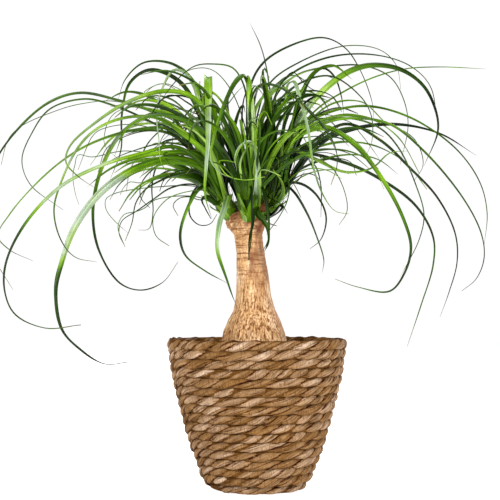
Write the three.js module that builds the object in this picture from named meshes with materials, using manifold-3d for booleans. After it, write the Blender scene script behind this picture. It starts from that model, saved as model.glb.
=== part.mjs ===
// Potted ponytail palm in a rope basket.
// Units are millimetres with +Z up. The origin is the middle of the basket's underside, and the
// side with the tall left sweep of leaves is seen by looking along +Y.
// A stump-grown palm stands in the potting mix of a nursery pot, the pot stands in a lined basket
// of stacked rope turns, and four shoots of strap leaves grow round the cut top of the trunk.

import * as THREE from 'three';
import { mergeVertices } from 'three/addons/utils/BufferGeometryUtils.js';
import Module from 'manifold-3d';

const wasm = await Module();
wasm.setup();

// Gap between pieces that touch, and the distance under which two corners are one
const SEAT_GAP = 0.3;
const MERGE_DISTANCE = 1e-3;

// Basket: rope turns stacked on a rounded foot. Its outline is height and outer radius.
const BASKET_HEIGHT = 148;
const BASKET_OUTLINE = [
  [0, 39], [5, 50.5], [12, 56.5], [23, 60.5], [47, 69], [71, 76.2], [95, 82], [119, 87], [148, 90.5],
];
const BASKET_WALL = 8;
const BASKET_FLOOR = 8;
const BASKET_FLOOR_RADIUS = 44.5;
const BASKET_INNER_CORNER = 34;
const ROPE_ROWS = 17;
const ROPE_VALLEY = 2.2;
const BASKET_SIDES = 28;

// Liner: a film inside the basket
const LINER_THICKNESS = 0.8;
const LINER_TOP = 136;

// Nursery pot, 13 cm across
const POT_TOP = 126;
const POT_TOP_RADIUS = 65;
const POT_BASE_RADIUS = 42;
const POT_WALL = 1.5;
const POT_LIP = 2.5;
const POT_LIP_HEIGHT = 8;
const POT_SIDES = 28;
const POT_FOOT = BASKET_FLOOR + LINER_THICKNESS + 2 * SEAT_GAP;

// Potting mix
const SOIL_TOP = 120;
const SOIL_DOME = 3;
const SOIL_DOME_SHARE = 0.75;

// Trunk: height, sideways shift of the middle, and radius, from the buried foot to the head
const TRUNK_RINGS = [
  [82, -2, 9], [88, -2, 20], [98, -2, 30], [112, -2, 36.5], [127, -2, 37.5], [138, -2, 35.5],
  [147, -2, 32.5], [155, -2.4, 30.6], [167, -2.4, 26], [177, -2.2, 20.8], [191, -3.5, 17.5],
  [206, -4.3, 16.3], [220, -5.5, 15.1], [233, -6.9, 14.2], [244, -8.2, 13.8], [251, -9.1, 14.1],
  [259, -11.2, 17.6], [266, -11.2, 18.6], [272, -11.2, 15.5], [275, -11.2, 10],
];
const TRUNK_SIDES = 22;
const TRUNK_FLUTES = 5;
const TRUNK_FLUTE_DEPTH = 0.035;
const TRUNK_FLUTE_CLIMB = 40;
const KNOB_RADIUS = 9.5;
const KNOB_DROP = 2;
const KNOB_SIDES = 10;
const KNOB_ROWS = 7;
const STUMP = { foot: [-18.5, 3, 268], top: [-19.5, 3, 286], radius: 5.4, topRadius: 5, sides: 9 };

// Shoots: each stands on the trunk's head and leans away from its middle
const SHOOT_PROFILE = [[6, -4], [7.5, 1], [8.8, 8], [10.2, 18], [9.6, 28], [5, 36], [0, 38]];
const SHOOT_TOP = 38;
const SHOOT_RADIUS = 10.2;
const SHOOT_SIDES = 12;
const HEADS = {
  left: { base: [-25.5, 0, 270], axis: [-0.5, 0, 0.87] },
  front: { base: [-8.5, -15, 267], axis: [0.05, -0.5, 0.87] },
  right: { base: [4.5, 1.5, 270], axis: [0.5, 0, 0.87] },
  back: { base: [-9, 16, 268], axis: [0, 0.5, 0.87] },
};

// Leaves: roots stand in a spiral up the shoot, drawn to the side that each leaf leans to
const ROOT_LOW = 4;
const ROOT_HIGH = 22;
const ROOT_OUT = 4.5;
const ROOT_SPIRAL = 0.9;
const GOLDEN_PART = 0.618034;
const EMERGE_UP = 17;
const EMERGE_OUT = 5;
const LEAF_ROOT_LENGTH = 40;
const LEAF_ROOT_SHARE = 0.35;
const LEAF_TAPER = 2.4;
const LEAF_TIP_WIDTH = 1;
const LEAF_THICKNESS = 0.6;
const LEAF_KEEL = 0.14;
const TWIST_AT_ROOT = 0.85;
const TWIST_WAVE = 12;
const TWIST_WAVES = 5;
const LINE_SAMPLES = 16;
const LEAF_SAG = 1.6;
const SAG_PARTS = [0.2, 0.35, 0.5, 0.65, 0.8];
const LEAF_LONGEST_STEP = 48;
const LEAF_SHORTEST_STEP = 7;
const LEAF_STEP_TRIM = 2;
const LEAF_MERGES = [0.14, 0.12, 0.1, 0.08, 0.06, 0.04, 0.02, 0.01, 0.005];
const LEAF_CLEARANCE = 1.4;
const LEAF_PROBE_STEP = 5;
const LEAF_SUNK_PROBES = 3;
const BEND_STEP = 5;
const BEND_TRIES = 40;
const BEND_GROWTH = 3;

// Each listed leaf is traced as it looks from the front: its route holds sideways place and height
// where the line of sight crosses the plane y = 0. Its depth, how far back it lies, is the third
// number of each point, or else eases from its shoot's to that given for its tip.
const EYE = new THREE.Vector3(-7, -1100, 177);
const DEPTH_EASE = 0.75;
const TRACED_LEAVES = [
  // Left shoot: the long sweep over the left side
  { head: 'left', width: 3.4, depth: 60, lean: 62, route: [[-57, 354], [-97, 373], [-137, 386],
    [-177, 394], [-207, 385], [-237, 360], [-262, 325], [-275, 282], [-272, 247], [-244, 197]] },
  { head: 'left', width: 2.4, depth: 105, lean: -60, route: [[-57, 337], [-102, 363], [-142, 381],
    [-172, 388], [-207, 378], [-225, 354], [-235, 327], [-227, 303], [-194, 277]] },
  { head: 'left', width: 5, depth: -85, lean: 48, route: [[-50, 372], [-66, 391], [-92, 396],
    [-127, 386], [-162, 364], [-187, 341], [-191, 325], [-178, 310], [-162, 299]] },
  { head: 'left', width: 3.2, depth: -60, lean: 64, route: [[-62, 345], [-97, 368], [-127, 370],
    [-157, 360], [-177, 342], [-195, 307], [-203, 277], [-196, 247], [-182, 230], [-160, 225]] },
  { head: 'left', width: 3.2, depth: 24, lean: -66, route: [[-55, 338], [-87, 358], [-122, 357],
    [-162, 345], [-192, 328], [-222, 302], [-247, 273], [-259, 251], [-247, 237], [-224, 226]] },
  { head: 'left', width: 3.8, depth: -110, lean: 60, route: [[-57, 325], [-82, 340], [-117, 333],
    [-157, 321], [-197, 300], [-232, 263], [-251, 224], [-252, 195], [-242, 173], [-212, 159],
    [-176, 162]] },
  { head: 'left', width: 2.6, depth: 96, lean: -60, route: [[-54, 332], [-87, 344], [-127, 335],
    [-152, 324]] },
  { head: 'left', width: 7.6, depth: -70, lean: 66, route: [[-52, 318], [-82, 329], [-107, 324],
    [-127, 316], [-157, 294], [-182, 260], [-195, 225], [-201, 197], [-195, 158], [-177, 138],
    [-152, 123], [-129, 125]] },
  { head: 'left', width: 6.2, depth: -35, lean: 70, route: [[-57, 331], [-90, 334], [-117, 330],
    [-147, 318], [-170, 300]] },
  { head: 'left', width: 5, depth: 75, lean: -62, route: [[-52, 352], [-87, 373], [-107, 372],
    [-137, 352], [-156, 317], [-164, 275], [-158, 237], [-137, 204], [-116, 197], [-94, 205],
    [-79, 225]] },
  { head: 'left', width: 2.4, depth: 120, lean: -55, route: [[-57, 332], [-87, 353], [-117, 355],
    [-150, 339], [-159, 315]] },
  { head: 'left', width: 5, depth: 45, lean: -58, route: [[-53, 362], [-77, 405], [-107, 417],
    [-127, 404], [-135, 372], [-136, 337], [-147, 307]] },
  { head: 'left', width: 5, depth: 90, lean: -48, route: [[-48, 372], [-67, 410], [-87, 424],
    [-114, 424], [-132, 407], [-139, 387]] },
  { head: 'left', width: 3.4, depth: -45, lean: 58, route: [[-47, 350], [-62, 398], [-72, 414],
    [-83, 417], [-93, 402], [-100, 377], [-98, 347], [-96, 325], [-87, 311]] },
  { head: 'left', width: 9.2, lean: 54, route: [[-42, 322, -8], [-47, 350, -12], [-49, 380, -18],
    [-49, 401, -25], [-49, 411, -40], [-49, 400, -55], [-49, 350, -64], [-51, 320, -68],
    [-52, 292, -70], [-45, 268, -70]] },
  { head: 'left', width: 3.6, lean: -12, route: [[-44, 300, -14], [-50, 293, -26],
    [-49, 268, -34], [-40, 232, -40], [-29, 203, -46], [-21, 177, -50]] },
  { head: 'left', width: 3.6, lean: -60, route: [[-46, 301, -10], [-58, 298, -22],
    [-70, 278, -32], [-77, 252, -40], [-72, 232, -46], [-52, 216, -52], [-30, 204, -56]] },
  { head: 'left', width: 2.2, depth: -30, lean: 60, route: [[-60, 322], [-92, 324], [-107, 315],
    [-116, 302], [-116, 289], [-107, 279]] },
  { head: 'left', width: 2.4, depth: 40, lean: 76, route: [[-58, 326], [-84, 333], [-99, 323],
    [-105, 302], [-104, 274], [-108, 258], [-119, 257]] },
  { head: 'left', width: 2.4, depth: -62, lean: 60, route: [[-56, 314], [-82, 312], [-99, 305],
    [-112, 297], [-121, 284], [-125, 264], [-132, 246]] },
  { head: 'left', width: 2, depth: 62, lean: 60, route: [[-62, 302], [-86, 299], [-103, 288],
    [-120, 276], [-135, 266], [-138, 254], [-132, 240]] },
  { head: 'left', width: 2.2, lean: 60, route: [[-48, 305, 10], [-60, 300, 20], [-67, 287, 28],
    [-67, 271, 34], [-58, 262, 40], [-47, 263, 44], [-40, 273, 46]] },

  // Front shoot: folded leaves over the middle, and two that hang before the trunk
  { head: 'front', width: 2, depth: -60, lean: 10, route: [[-10, 350], [-12, 398], [-24, 419],
    [-45, 423], [-62, 421], [-77, 410], [-92, 392], [-99, 381]] },
  { head: 'front', width: 6.8, lean: 80, route: [[-5, 337, -30], [-5, 377, -36],
    [-7, 400, -42], [-13, 412, -52], [-22, 405, -64], [-33, 382, -72], [-44, 347, -78],
    [-46, 327, -82], [-36, 314, -86], [-22, 308, -90]] },
  { head: 'front', width: 2.8, depth: -110, lean: -12, route: [[-7, 350], [-6, 388], [3, 402],
    [20, 401], [43, 385], [65, 363], [78, 340], [80, 322], [74, 302]] },
  { head: 'front', width: 2.6, lean: 18, route: [[-7, 300, -32], [-6, 300, -44],
    [-5, 284, -52], [-5, 262, -54], [-6, 246, -54], [-9, 226, -52]] },
  { head: 'front', width: 4, lean: 2, route: [[1, 299, -32], [6, 297, -45], [10, 280, -54],
    [12, 262, -56], [11, 246, -56], [5, 235, -55]] },
  { head: 'front', width: 5.6, lean: 4, route: [[-3, 312, -35], [-1, 332, -45],
    [-7, 344, -56], [-16, 341, -64], [-23, 324, -68]] },
  { head: 'front', width: 6, lean: 36, route: [[-3, 330, -24], [3, 365, -22], [12, 390, -20],
    [25, 399, -16], [36, 388, -14], [41, 366, -12]] },

  // Back shoot: tall thin leaves that show over the top
  { head: 'back', width: 2.4, depth: 55, lean: 32, route: [[2, 330], [13, 375], [11, 410],
    [4, 440], [-7, 464]] },
  { head: 'back', width: 2.8, depth: 120, lean: 14, route: [[-10, 340], [-7, 400], [8, 426],
    [43, 445], [68, 449], [88, 439], [103, 417], [115, 385], [117, 367]] },
  { head: 'back', width: 2, depth: 150, lean: 38, route: [[0, 370], [13, 404], [43, 425],
    [88, 441], [123, 437], [139, 422], [144, 397]] },

  // Right shoot: the fan over the right side
  { head: 'right', width: 2.4, depth: 90, lean: 14, route: [[8, 380], [33, 412], [73, 430],
    [118, 432], [153, 421], [173, 401], [181, 362]] },
  { head: 'right', width: 6.8, depth: -45, lean: -60, route: [[30, 332], [46, 372], [68, 398],
    [93, 416], [115, 422], [143, 418], [165, 403], [177, 382], [181, 357], [167, 321]] },
  { head: 'right', width: 2, depth: 40, lean: 76, route: [[35, 345], [58, 376], [88, 396],
    [118, 410], [148, 418], [183, 420], [230, 418]] },
  { head: 'right', width: 4.2, depth: -20, lean: -55, route: [[30, 350], [43, 384], [53, 408],
    [66, 419], [77, 411], [84, 392], [87, 371]] },
  { head: 'right', width: 2.2, depth: 130, lean: 40, route: [[16, 385], [38, 411], [78, 421],
    [108, 421], [133, 410], [146, 389], [151, 362], [143, 322]] },
  { head: 'right', width: 2.2, depth: -75, lean: -28, route: [[18, 378], [40, 402], [73, 411],
    [103, 391], [114, 372], [115, 347], [110, 333]] },
  { head: 'right', width: 2.2, depth: 70, lean: 14, route: [[18, 378], [48, 396], [73, 392],
    [85, 375]] },
  { head: 'right', width: 4.4, lean: 20, route: [[25, 335, -20], [29, 385, -32],
    [31, 402, -40], [37, 405, -52], [43, 388, -62], [51, 357, -68], [56, 322, -74],
    [65, 294, -80], [78, 276, -84], [92, 273, -86]] },
  { head: 'right', width: 2.8, depth: 20, lean: 62, route: [[30, 345], [53, 366], [88, 379],
    [118, 380], [158, 367], [200, 337], [223, 304], [230, 274], [227, 240]] },
  { head: 'right', width: 2.8, depth: -100, lean: -62, route: [[32, 340], [63, 362], [93, 369],
    [133, 363], [168, 335], [206, 289], [224, 254], [227, 229], [219, 208], [205, 196]] },
  { head: 'right', width: 2.2, depth: 110, lean: 60, route: [[30, 340], [63, 362], [103, 369],
    [133, 362], [158, 347], [166, 322], [157, 306]] },
  { head: 'right', width: 3.2, depth: 65, lean: 62, route: [[30, 325], [55, 345], [89, 363],
    [123, 347], [153, 319], [180, 290], [198, 254], [200, 225], [192, 195], [183, 170]] },
  { head: 'right', width: 2, depth: -60, lean: -54, route: [[28, 335], [55, 362], [88, 369],
    [121, 360], [141, 340], [160, 299], [167, 272], [162, 247], [143, 210]] },
  { head: 'right', width: 5, depth: -70, lean: -62, route: [[24, 330], [43, 352], [68, 360],
    [98, 342], [126, 307], [147, 267], [154, 240], [148, 215], [133, 196], [101, 200],
    [78, 208]] },
  { head: 'right', width: 3.6, depth: 95, lean: 60, route: [[20, 318], [43, 333], [83, 326],
    [118, 311], [158, 282], [176, 250], [176, 222], [164, 182], [150, 140]] },
  { head: 'right', width: 4, depth: -35, lean: -34, route: [[20, 328], [35, 337], [58, 328],
    [88, 315], [115, 319], [133, 334], [151, 336]] },
  { head: 'right', width: 3.2, depth: 45, lean: 60, route: [[26, 303], [44, 303], [60, 291],
    [69, 270], [64, 248], [53, 238]] },
  { head: 'right', width: 2.6, lean: 52, route: [[24, 302, -12], [36, 296, -26],
    [50, 274, -38], [60, 250, -46], [67, 226, -52], [65, 214, -54]] },
  { head: 'right', width: 2.4, depth: -30, lean: -54, route: [[26, 303], [38, 304], [48, 316]] },

  // Broad leaves that fill the middle of the shoots
  { head: 'left', width: 6.2, depth: -50, lean: 56, route: [[-56, 350], [-66, 363], [-77, 371],
    [-92, 375], [-112, 379], [-130, 383], [-147, 380]] },
  { head: 'left', width: 6.6, depth: -60, lean: 40, route: [[-50, 332], [-62, 344], [-75, 354],
    [-90, 364], [-105, 370], [-124, 369]] },
  { head: 'left', width: 5.4, depth: 20, lean: -72, route: [[-55, 328], [-70, 341], [-82, 351],
    [-97, 356], [-115, 357], [-135, 351]] },
  { head: 'left', width: 4.6, depth: 10, lean: -72, route: [[-51, 366], [-60, 390], [-66, 408],
    [-73, 418], [-82, 423]] },
  { head: 'left', width: 5, depth: -70, lean: 36, route: [[-48, 340], [-58, 352], [-68, 359],
    [-78, 362]] },
  { head: 'front', width: 4.4, depth: 40, lean: 20, route: [[-4, 350], [-2, 376], [3, 386],
    [11, 395], [24, 402], [35, 409], [51, 416], [66, 420]] },
  { head: 'front', width: 6.6, lean: -6, route: [[-4, 300, -36], [-1, 330, -46], [-2, 360, -52],
    [-5, 385, -52], [-8, 402, -50], [-10, 412, -47]] },
  { head: 'back', width: 4.2, depth: 40, lean: -84, route: [[-22, 340], [-28, 368], [-29, 388],
    [-24, 402], [-18, 408]] },
  { head: 'left', width: 4.4, depth: -40, lean: 56, route: [[-46, 312], [-66, 322], [-86, 324],
    [-104, 319], [-118, 309]] },
];

// The other leaves follow a rule: they rise, arch over and fall round their shoot.
const SEED = 20;
const DRAW_FACTOR = 1664525;
const DRAW_STEP = 1013904223;
const DRAW_RANGE = 2 ** 32;
const ARCH_POINTS = 6;
const DRAWS_PER_LEAF = 80;
const SHOOT_FANS = [
  { head: 'left', leaves: 14, facing: 178, spread: 230, rise: [56, 88], length: [115, 182], bend: 2.2 },
  { head: 'front', leaves: 16, facing: -90, spread: 290, rise: [68, 90], length: [105, 172], bend: 2.2 },
  { head: 'right', leaves: 14, facing: 2, spread: 230, rise: [56, 88], length: [115, 182], bend: 2.2 },
  { head: 'back', leaves: 15, facing: 90, spread: 290, rise: [62, 90], length: [120, 190], bend: 2.2 },
  { head: 'back', leaves: 13, facing: 90, spread: 150, rise: [45, 78], length: [190, 320], bend: 1.4 },
  { head: 'front', leaves: 6, facing: -90, spread: 160, rise: [50, 72], length: [130, 210], bend: 1.4 },
  { head: 'left', leaves: 5, facing: 180, spread: 130, rise: [20, 50], length: [80, 130], bend: 1.2 },
];
const FAN_WIDTH = [4.5, 8.5];
const FAN_DROOP = [25, 80];
const FAN_CURL = 45;
const FAN_LEAN = 75;
const FAN_SCATTER = 14;
const FAN_LOWEST = 256;

const materials = {
  basket: new THREE.MeshStandardMaterial({ color: 0xa98560, roughness: 0.85, metalness: 0 }),
  liner: new THREE.MeshStandardMaterial({ color: 0x3a3a38, roughness: 0.35, metalness: 0 }),
  pot: new THREE.MeshStandardMaterial({ color: 0x2b2723, roughness: 0.5, metalness: 0 }),
  soil: new THREE.MeshStandardMaterial({ color: 0x3b2a1f, roughness: 0.95, metalness: 0 }),
  bark: new THREE.MeshStandardMaterial({ color: 0xc79c6e, roughness: 0.8, metalness: 0 }),
  leaf: new THREE.MeshStandardMaterial({ color: 0x4f8a2c, roughness: 0.4, metalness: 0 }),
};

// Solids and meshes

function solidOf(geometry) {
  geometry.deleteAttribute('normal');
  geometry.deleteAttribute('uv');
  const merged = mergeVertices(geometry, MERGE_DISTANCE);
  return new wasm.Manifold(new wasm.Mesh({
    numProp: 3,
    vertProperties: new Float32Array(merged.attributes.position.array),
    triVerts: new Uint32Array(merged.index.array),
  }));
}

function geometryOf(solid) {
  const { vertProperties, triVerts } = solid.getMesh();
  const geometry = new THREE.BufferGeometry();
  geometry.setAttribute('position', new THREE.BufferAttribute(new Float32Array(vertProperties), 3));
  geometry.setIndex(new THREE.BufferAttribute(new Uint32Array(triVerts), 1));
  return geometry;
}

function meshOf(name, solid, material) {
  const geometry = geometryOf(solid);
  geometry.computeVertexNormals();
  const mesh = new THREE.Mesh(geometry, material);
  mesh.name = name;
  return mesh;
}

// A closed body turned round Z from points of radius and height that start and end on the axis
function turned(points, sides) {
  const profile = points.map(([radius, height]) => new THREE.Vector2(radius, height));
  return new THREE.LatheGeometry(profile, sides).rotateX(Math.PI / 2);
}

// A closed tube through rings of equal length, with a point at each end in the middle of its ring
function tubeThrough(rings) {
  const sides = rings[0].length;
  const positions = [];
  const index = [];
  rings.forEach((ring) => ring.forEach((point) => positions.push(point.x, point.y, point.z)));
  for (let row = 0; row + 1 < rings.length; row += 1) {
    for (let side = 0; side < sides; side += 1) {
      const next = (side + 1) % sides;
      const a = row * sides + side;
      const b = row * sides + next;
      index.push(a, b, b + sides, a, b + sides, a + sides);
    }
  }
  const last = (rings.length - 1) * sides;
  for (let side = 1; side + 1 < sides; side += 1) {
    index.push(0, side + 1, side);
    index.push(last, last + side, last + side + 1);
  }
  const geometry = new THREE.BufferGeometry();
  geometry.setAttribute('position', new THREE.Float32BufferAttribute(positions, 3));
  geometry.setIndex(index);
  return geometry;
}

// Basket, liner, pot and soil

function basketRadius(height) {
  const at = Math.max(1, BASKET_OUTLINE.findIndex(([level]) => level >= height));
  const [low, lowRadius] = BASKET_OUTLINE[at - 1];
  const [high, highRadius] = BASKET_OUTLINE[at];
  return lowRadius + ((highRadius - lowRadius) * (height - low)) / (high - low);
}

function basket() {
  const row = BASKET_HEIGHT / ROPE_ROWS;
  const rim = basketRadius(BASKET_HEIGHT);
  const points = [[0, 0], [BASKET_OUTLINE[0][1], 0]];
  for (let turn = 0; turn < ROPE_ROWS; turn += 1) {
    const crest = (turn + 0.5) * row;
    const valley = (turn + 1) * row;
    points.push([basketRadius(crest), crest]);
    if (turn + 1 < ROPE_ROWS) points.push([basketRadius(valley) - ROPE_VALLEY, valley]);
  }
  points.push([rim - BASKET_WALL / 2, BASKET_HEIGHT]);
  points.push([rim - BASKET_WALL, BASKET_HEIGHT - row / 2]);
  points.push([basketInside(BASKET_INNER_CORNER), BASKET_INNER_CORNER]);
  points.push([BASKET_FLOOR_RADIUS, BASKET_FLOOR]);
  points.push([0, BASKET_FLOOR]);
  return meshOf('basket', solidOf(turned(points, BASKET_SIDES)), materials.basket);
}

// The inner wall runs straight from the floor to its lower corner, and straight on to the rim
function basketInside(height) {
  const corner = basketRadius(BASKET_INNER_CORNER) - BASKET_WALL;
  if (height < BASKET_INNER_CORNER) {
    const up = (height - BASKET_FLOOR) / (BASKET_INNER_CORNER - BASKET_FLOOR);
    return BASKET_FLOOR_RADIUS + (corner - BASKET_FLOOR_RADIUS) * up;
  }
  const rim = basketRadius(BASKET_HEIGHT) - BASKET_WALL;
  const rimFoot = BASKET_HEIGHT - BASKET_HEIGHT / ROPE_ROWS / 2;
  return corner + ((rim - corner) * (height - BASKET_INNER_CORNER)) / (rimFoot - BASKET_INNER_CORNER);
}

function liner() {
  const floor = BASKET_FLOOR + SEAT_GAP;
  const outside = (height) => basketInside(height) - 2 * SEAT_GAP;
  const inside = (height) => outside(height) - LINER_THICKNESS;
  const points = [[0, floor], [outside(floor), floor],
    [outside(BASKET_INNER_CORNER), BASKET_INNER_CORNER], [outside(LINER_TOP), LINER_TOP],
    [inside(LINER_TOP), LINER_TOP], [inside(BASKET_INNER_CORNER), BASKET_INNER_CORNER],
    [inside(floor), floor + LINER_THICKNESS], [0, floor + LINER_THICKNESS]];
  return meshOf('liner', solidOf(turned(points, BASKET_SIDES)), materials.liner);
}

function potRadius(height) {
  const part = (height - POT_FOOT) / (POT_TOP - POT_FOOT);
  return POT_BASE_RADIUS + (POT_TOP_RADIUS - POT_BASE_RADIUS) * part;
}

function growPot() {
  const lipFoot = POT_TOP - POT_LIP_HEIGHT;
  const points = [[0, POT_FOOT], [POT_BASE_RADIUS, POT_FOOT], [potRadius(lipFoot), lipFoot],
    [potRadius(lipFoot) + POT_LIP, lipFoot], [POT_TOP_RADIUS + POT_LIP, POT_TOP],
    [POT_TOP_RADIUS - POT_WALL, POT_TOP], [POT_BASE_RADIUS - POT_WALL, POT_FOOT + POT_WALL],
    [0, POT_FOOT + POT_WALL]];
  return meshOf('grow_pot', solidOf(turned(points, POT_SIDES)), materials.pot);
}

function soil() {
  const floor = POT_FOOT + POT_WALL + SEAT_GAP;
  const inside = (height) => potRadius(height) - POT_WALL - 2 * SEAT_GAP;
  const points = [[0, floor], [inside(floor), floor], [inside(SOIL_TOP), SOIL_TOP],
    [inside(SOIL_TOP) * SOIL_DOME_SHARE, SOIL_TOP + SOIL_DOME], [0, SOIL_TOP + SOIL_DOME]];
  const mix = solidOf(turned(points, POT_SIDES));
  return meshOf('soil', mix.subtract(solidOf(trunkColumn(SEAT_GAP))), materials.soil);
}

// Trunk

function trunkRing(height, middle, radius, grow) {
  const ring = [];
  for (let side = 0; side < TRUNK_SIDES; side += 1) {
    const angle = (2 * Math.PI * side) / TRUNK_SIDES;
    const flute = 1 + TRUNK_FLUTE_DEPTH * Math.cos(TRUNK_FLUTES * angle + height / TRUNK_FLUTE_CLIMB);
    const reach = radius * flute + grow;
    ring.push(new THREE.Vector3(
      middle + reach * Math.cos(angle), reach * Math.sin(angle), height,
    ));
  }
  return ring;
}

function trunkColumn(grow) {
  const [foot, middle, radius] = TRUNK_RINGS[0];
  const rings = TRUNK_RINGS.slice(1).map((ring) => trunkRing(...ring, grow));
  rings.unshift(trunkRing(foot - grow, middle, radius, grow));
  return tubeThrough(rings);
}

function stumpGeometry() {
  const foot = new THREE.Vector3(...STUMP.foot);
  const top = new THREE.Vector3(...STUMP.top);
  const along = top.clone().sub(foot);
  const geometry = new THREE.CylinderGeometry(
    STUMP.topRadius, STUMP.radius, along.length(), STUMP.sides,
  );
  const turn = new THREE.Quaternion().setFromUnitVectors(
    new THREE.Vector3(0, 1, 0), along.clone().normalize(),
  );
  const middle = foot.clone().add(top).multiplyScalar(0.5);
  return geometry.applyQuaternion(turn).translate(middle.x, middle.y, middle.z);
}

function shootGeometry(head, grow) {
  const points = [[0, SHOOT_PROFILE[0][1] - grow]];
  SHOOT_PROFILE.forEach(([radius, up], row) => {
    const raised = row === 0 ? up - grow : up;
    points.push([radius === 0 ? 0 : radius + grow, raised]);
  });
  const turn = new THREE.Quaternion().setFromUnitVectors(new THREE.Vector3(0, 0, 1), axisOf(head));
  return turned(points, SHOOT_SIDES).applyQuaternion(turn).translate(...HEADS[head].base);
}

function axisOf(head) {
  return new THREE.Vector3(...HEADS[head].axis).normalize();
}

function trunk() {
  const names = Object.keys(HEADS);
  const knobs = names.map((head) => {
    const knob = new THREE.SphereGeometry(KNOB_RADIUS, KNOB_SIDES, KNOB_ROWS);
    const [x, y, z] = HEADS[head].base;
    return solidOf(knob.translate(x, y, z - KNOB_DROP));
  });
  const body = wasm.Manifold.union([solidOf(trunkColumn(0)), solidOf(stumpGeometry()), ...knobs]);
  const sockets = names.map((head) => solidOf(shootGeometry(head, SEAT_GAP)));
  return meshOf('trunk', body.subtract(wasm.Manifold.union(sockets)), materials.bark);
}

// Leaves

// A point seen at this sideways place and height from the front, at the given depth
function fromView(x, z, depth) {
  const reach = (depth - EYE.y) / -EYE.y;
  return new THREE.Vector3(x, 0, z).sub(EYE).multiplyScalar(reach).add(EYE);
}

// The start of a leaf's route, inside the shoot
function rootPoint(head, order, side) {
  const up = ROOT_LOW + (ROOT_HIGH - ROOT_LOW) * ((order * GOLDEN_PART) % 1);
  const axis = axisOf(head);
  const turn = 2 * Math.PI * GOLDEN_PART * order;
  const out = new THREE.Vector3(Math.cos(turn), Math.sin(turn), 0).multiplyScalar(ROOT_SPIRAL)
    .add(side).normalize();
  return new THREE.Vector3(...HEADS[head].base).addScaledVector(axis, up)
    .addScaledVector(out, ROOT_OUT);
}

function flatDirection(from, to) {
  return new THREE.Vector3(to.x - from.x, to.y - from.y, 0).normalize();
}

// The shift, forward or back, grows over the first third of the leaf
function tracedRoute(leaf, order, shift) {
  const base = new THREE.Vector3(...HEADS[leaf.head].base);
  const lengths = [0];
  leaf.route.forEach(([x, z], at) => {
    const [fromX, fromZ] = at === 0 ? [base.x, base.z] : leaf.route[at - 1];
    lengths.push(lengths[at] + Math.hypot(x - fromX, z - fromZ));
  });
  const whole = lengths[lengths.length - 1];
  const bent = leaf.route.map(([x, z, given], at) => {
    const part = lengths[at + 1] / whole;
    const depth = given ?? base.y + (leaf.depth - base.y) * part ** DEPTH_EASE;
    return fromView(x, z, depth + shift * Math.min(1, BEND_GROWTH * part));
  });
  const side = flatDirection(base, bent[bent.length - 1]);
  return [rootPoint(leaf.head, order, side), ...bent];
}

function archedRoute(head, order, turn, rise, droop, curl, length, bend) {
  const side = new THREE.Vector3(Math.cos(turn), Math.sin(turn), 0);
  const root = rootPoint(head, order, side);
  const place = root.clone().addScaledVector(axisOf(head), EMERGE_UP)
    .addScaledVector(side, EMERGE_OUT);
  const route = [root, place.clone()];
  for (let step = 1; step <= ARCH_POINTS; step += 1) {
    const part = (step - 0.5) / ARCH_POINTS;
    const climb = rise - (rise + droop) * part ** bend;
    const heading = turn + curl * part * part;
    place.add(new THREE.Vector3(
      Math.cos(climb) * Math.cos(heading), Math.cos(climb) * Math.sin(heading), Math.sin(climb),
    ).multiplyScalar(length / ARCH_POINTS));
    route.push(place.clone());
  }
  return route;
}

// The route as a smooth line, with the length reached at each of its points
function smoothLine(route) {
  const curve = new THREE.CatmullRomCurve3(route, false, 'centripetal');
  const points = curve.getPoints((route.length - 1) * LINE_SAMPLES);
  const reached = [0];
  for (let at = 1; at < points.length; at += 1) {
    reached.push(reached[at - 1] + points[at].distanceTo(points[at - 1]));
  }
  return { points, reached, length: reached[reached.length - 1] };
}

function pointAt(line, reach) {
  let at = 1;
  while (at < line.points.length - 1 && line.reached[at] < reach) at += 1;
  const part = (reach - line.reached[at - 1]) / (line.reached[at] - line.reached[at - 1]);
  return line.points[at - 1].clone().lerp(line.points[at], part);
}

function leafWidth(width, reach, length) {
  const opened = Math.min(1, LEAF_ROOT_SHARE + ((1 - LEAF_ROOT_SHARE) * reach) / LEAF_ROOT_LENGTH);
  const part = reach / length;
  return LEAF_TIP_WIDTH + (width - LEAF_TIP_WIDTH) * opened * (1 - part ** LEAF_TAPER);
}

// Stations along the line, as far apart as the allowed sag of a straight stretch lets them be
function stationsOf(line) {
  const stations = [0];
  let from = 0;
  while (from < line.length) {
    let reach = Math.min(from + LEAF_LONGEST_STEP, line.length);
    while (reach - from > LEAF_SHORTEST_STEP && sagBetween(line, from, reach) > LEAF_SAG) {
      reach -= LEAF_STEP_TRIM;
    }
    if (line.length - reach < LEAF_SHORTEST_STEP) reach = line.length;
    stations.push(reach);
    from = reach;
  }
  return stations;
}

function sagBetween(line, from, to) {
  const start = pointAt(line, from);
  const end = pointAt(line, to);
  const chord = new THREE.Line3(start, end);
  let sag = 0;
  for (const part of SAG_PARTS) {
    const place = pointAt(line, from + (to - from) * part);
    const nearest = chord.closestPointToPoint(place, true, new THREE.Vector3());
    sag = Math.max(sag, nearest.distanceTo(place));
  }
  return sag;
}

function leafTwist(leaf, reach, length) {
  const part = reach / length;
  const settled = Math.min(1, TWIST_AT_ROOT + part);
  const wave = TWIST_WAVE * Math.sin(TWIST_WAVES * part + leaf.order);
  return THREE.MathUtils.degToRad((leaf.lean + wave) * settled);
}

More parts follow.
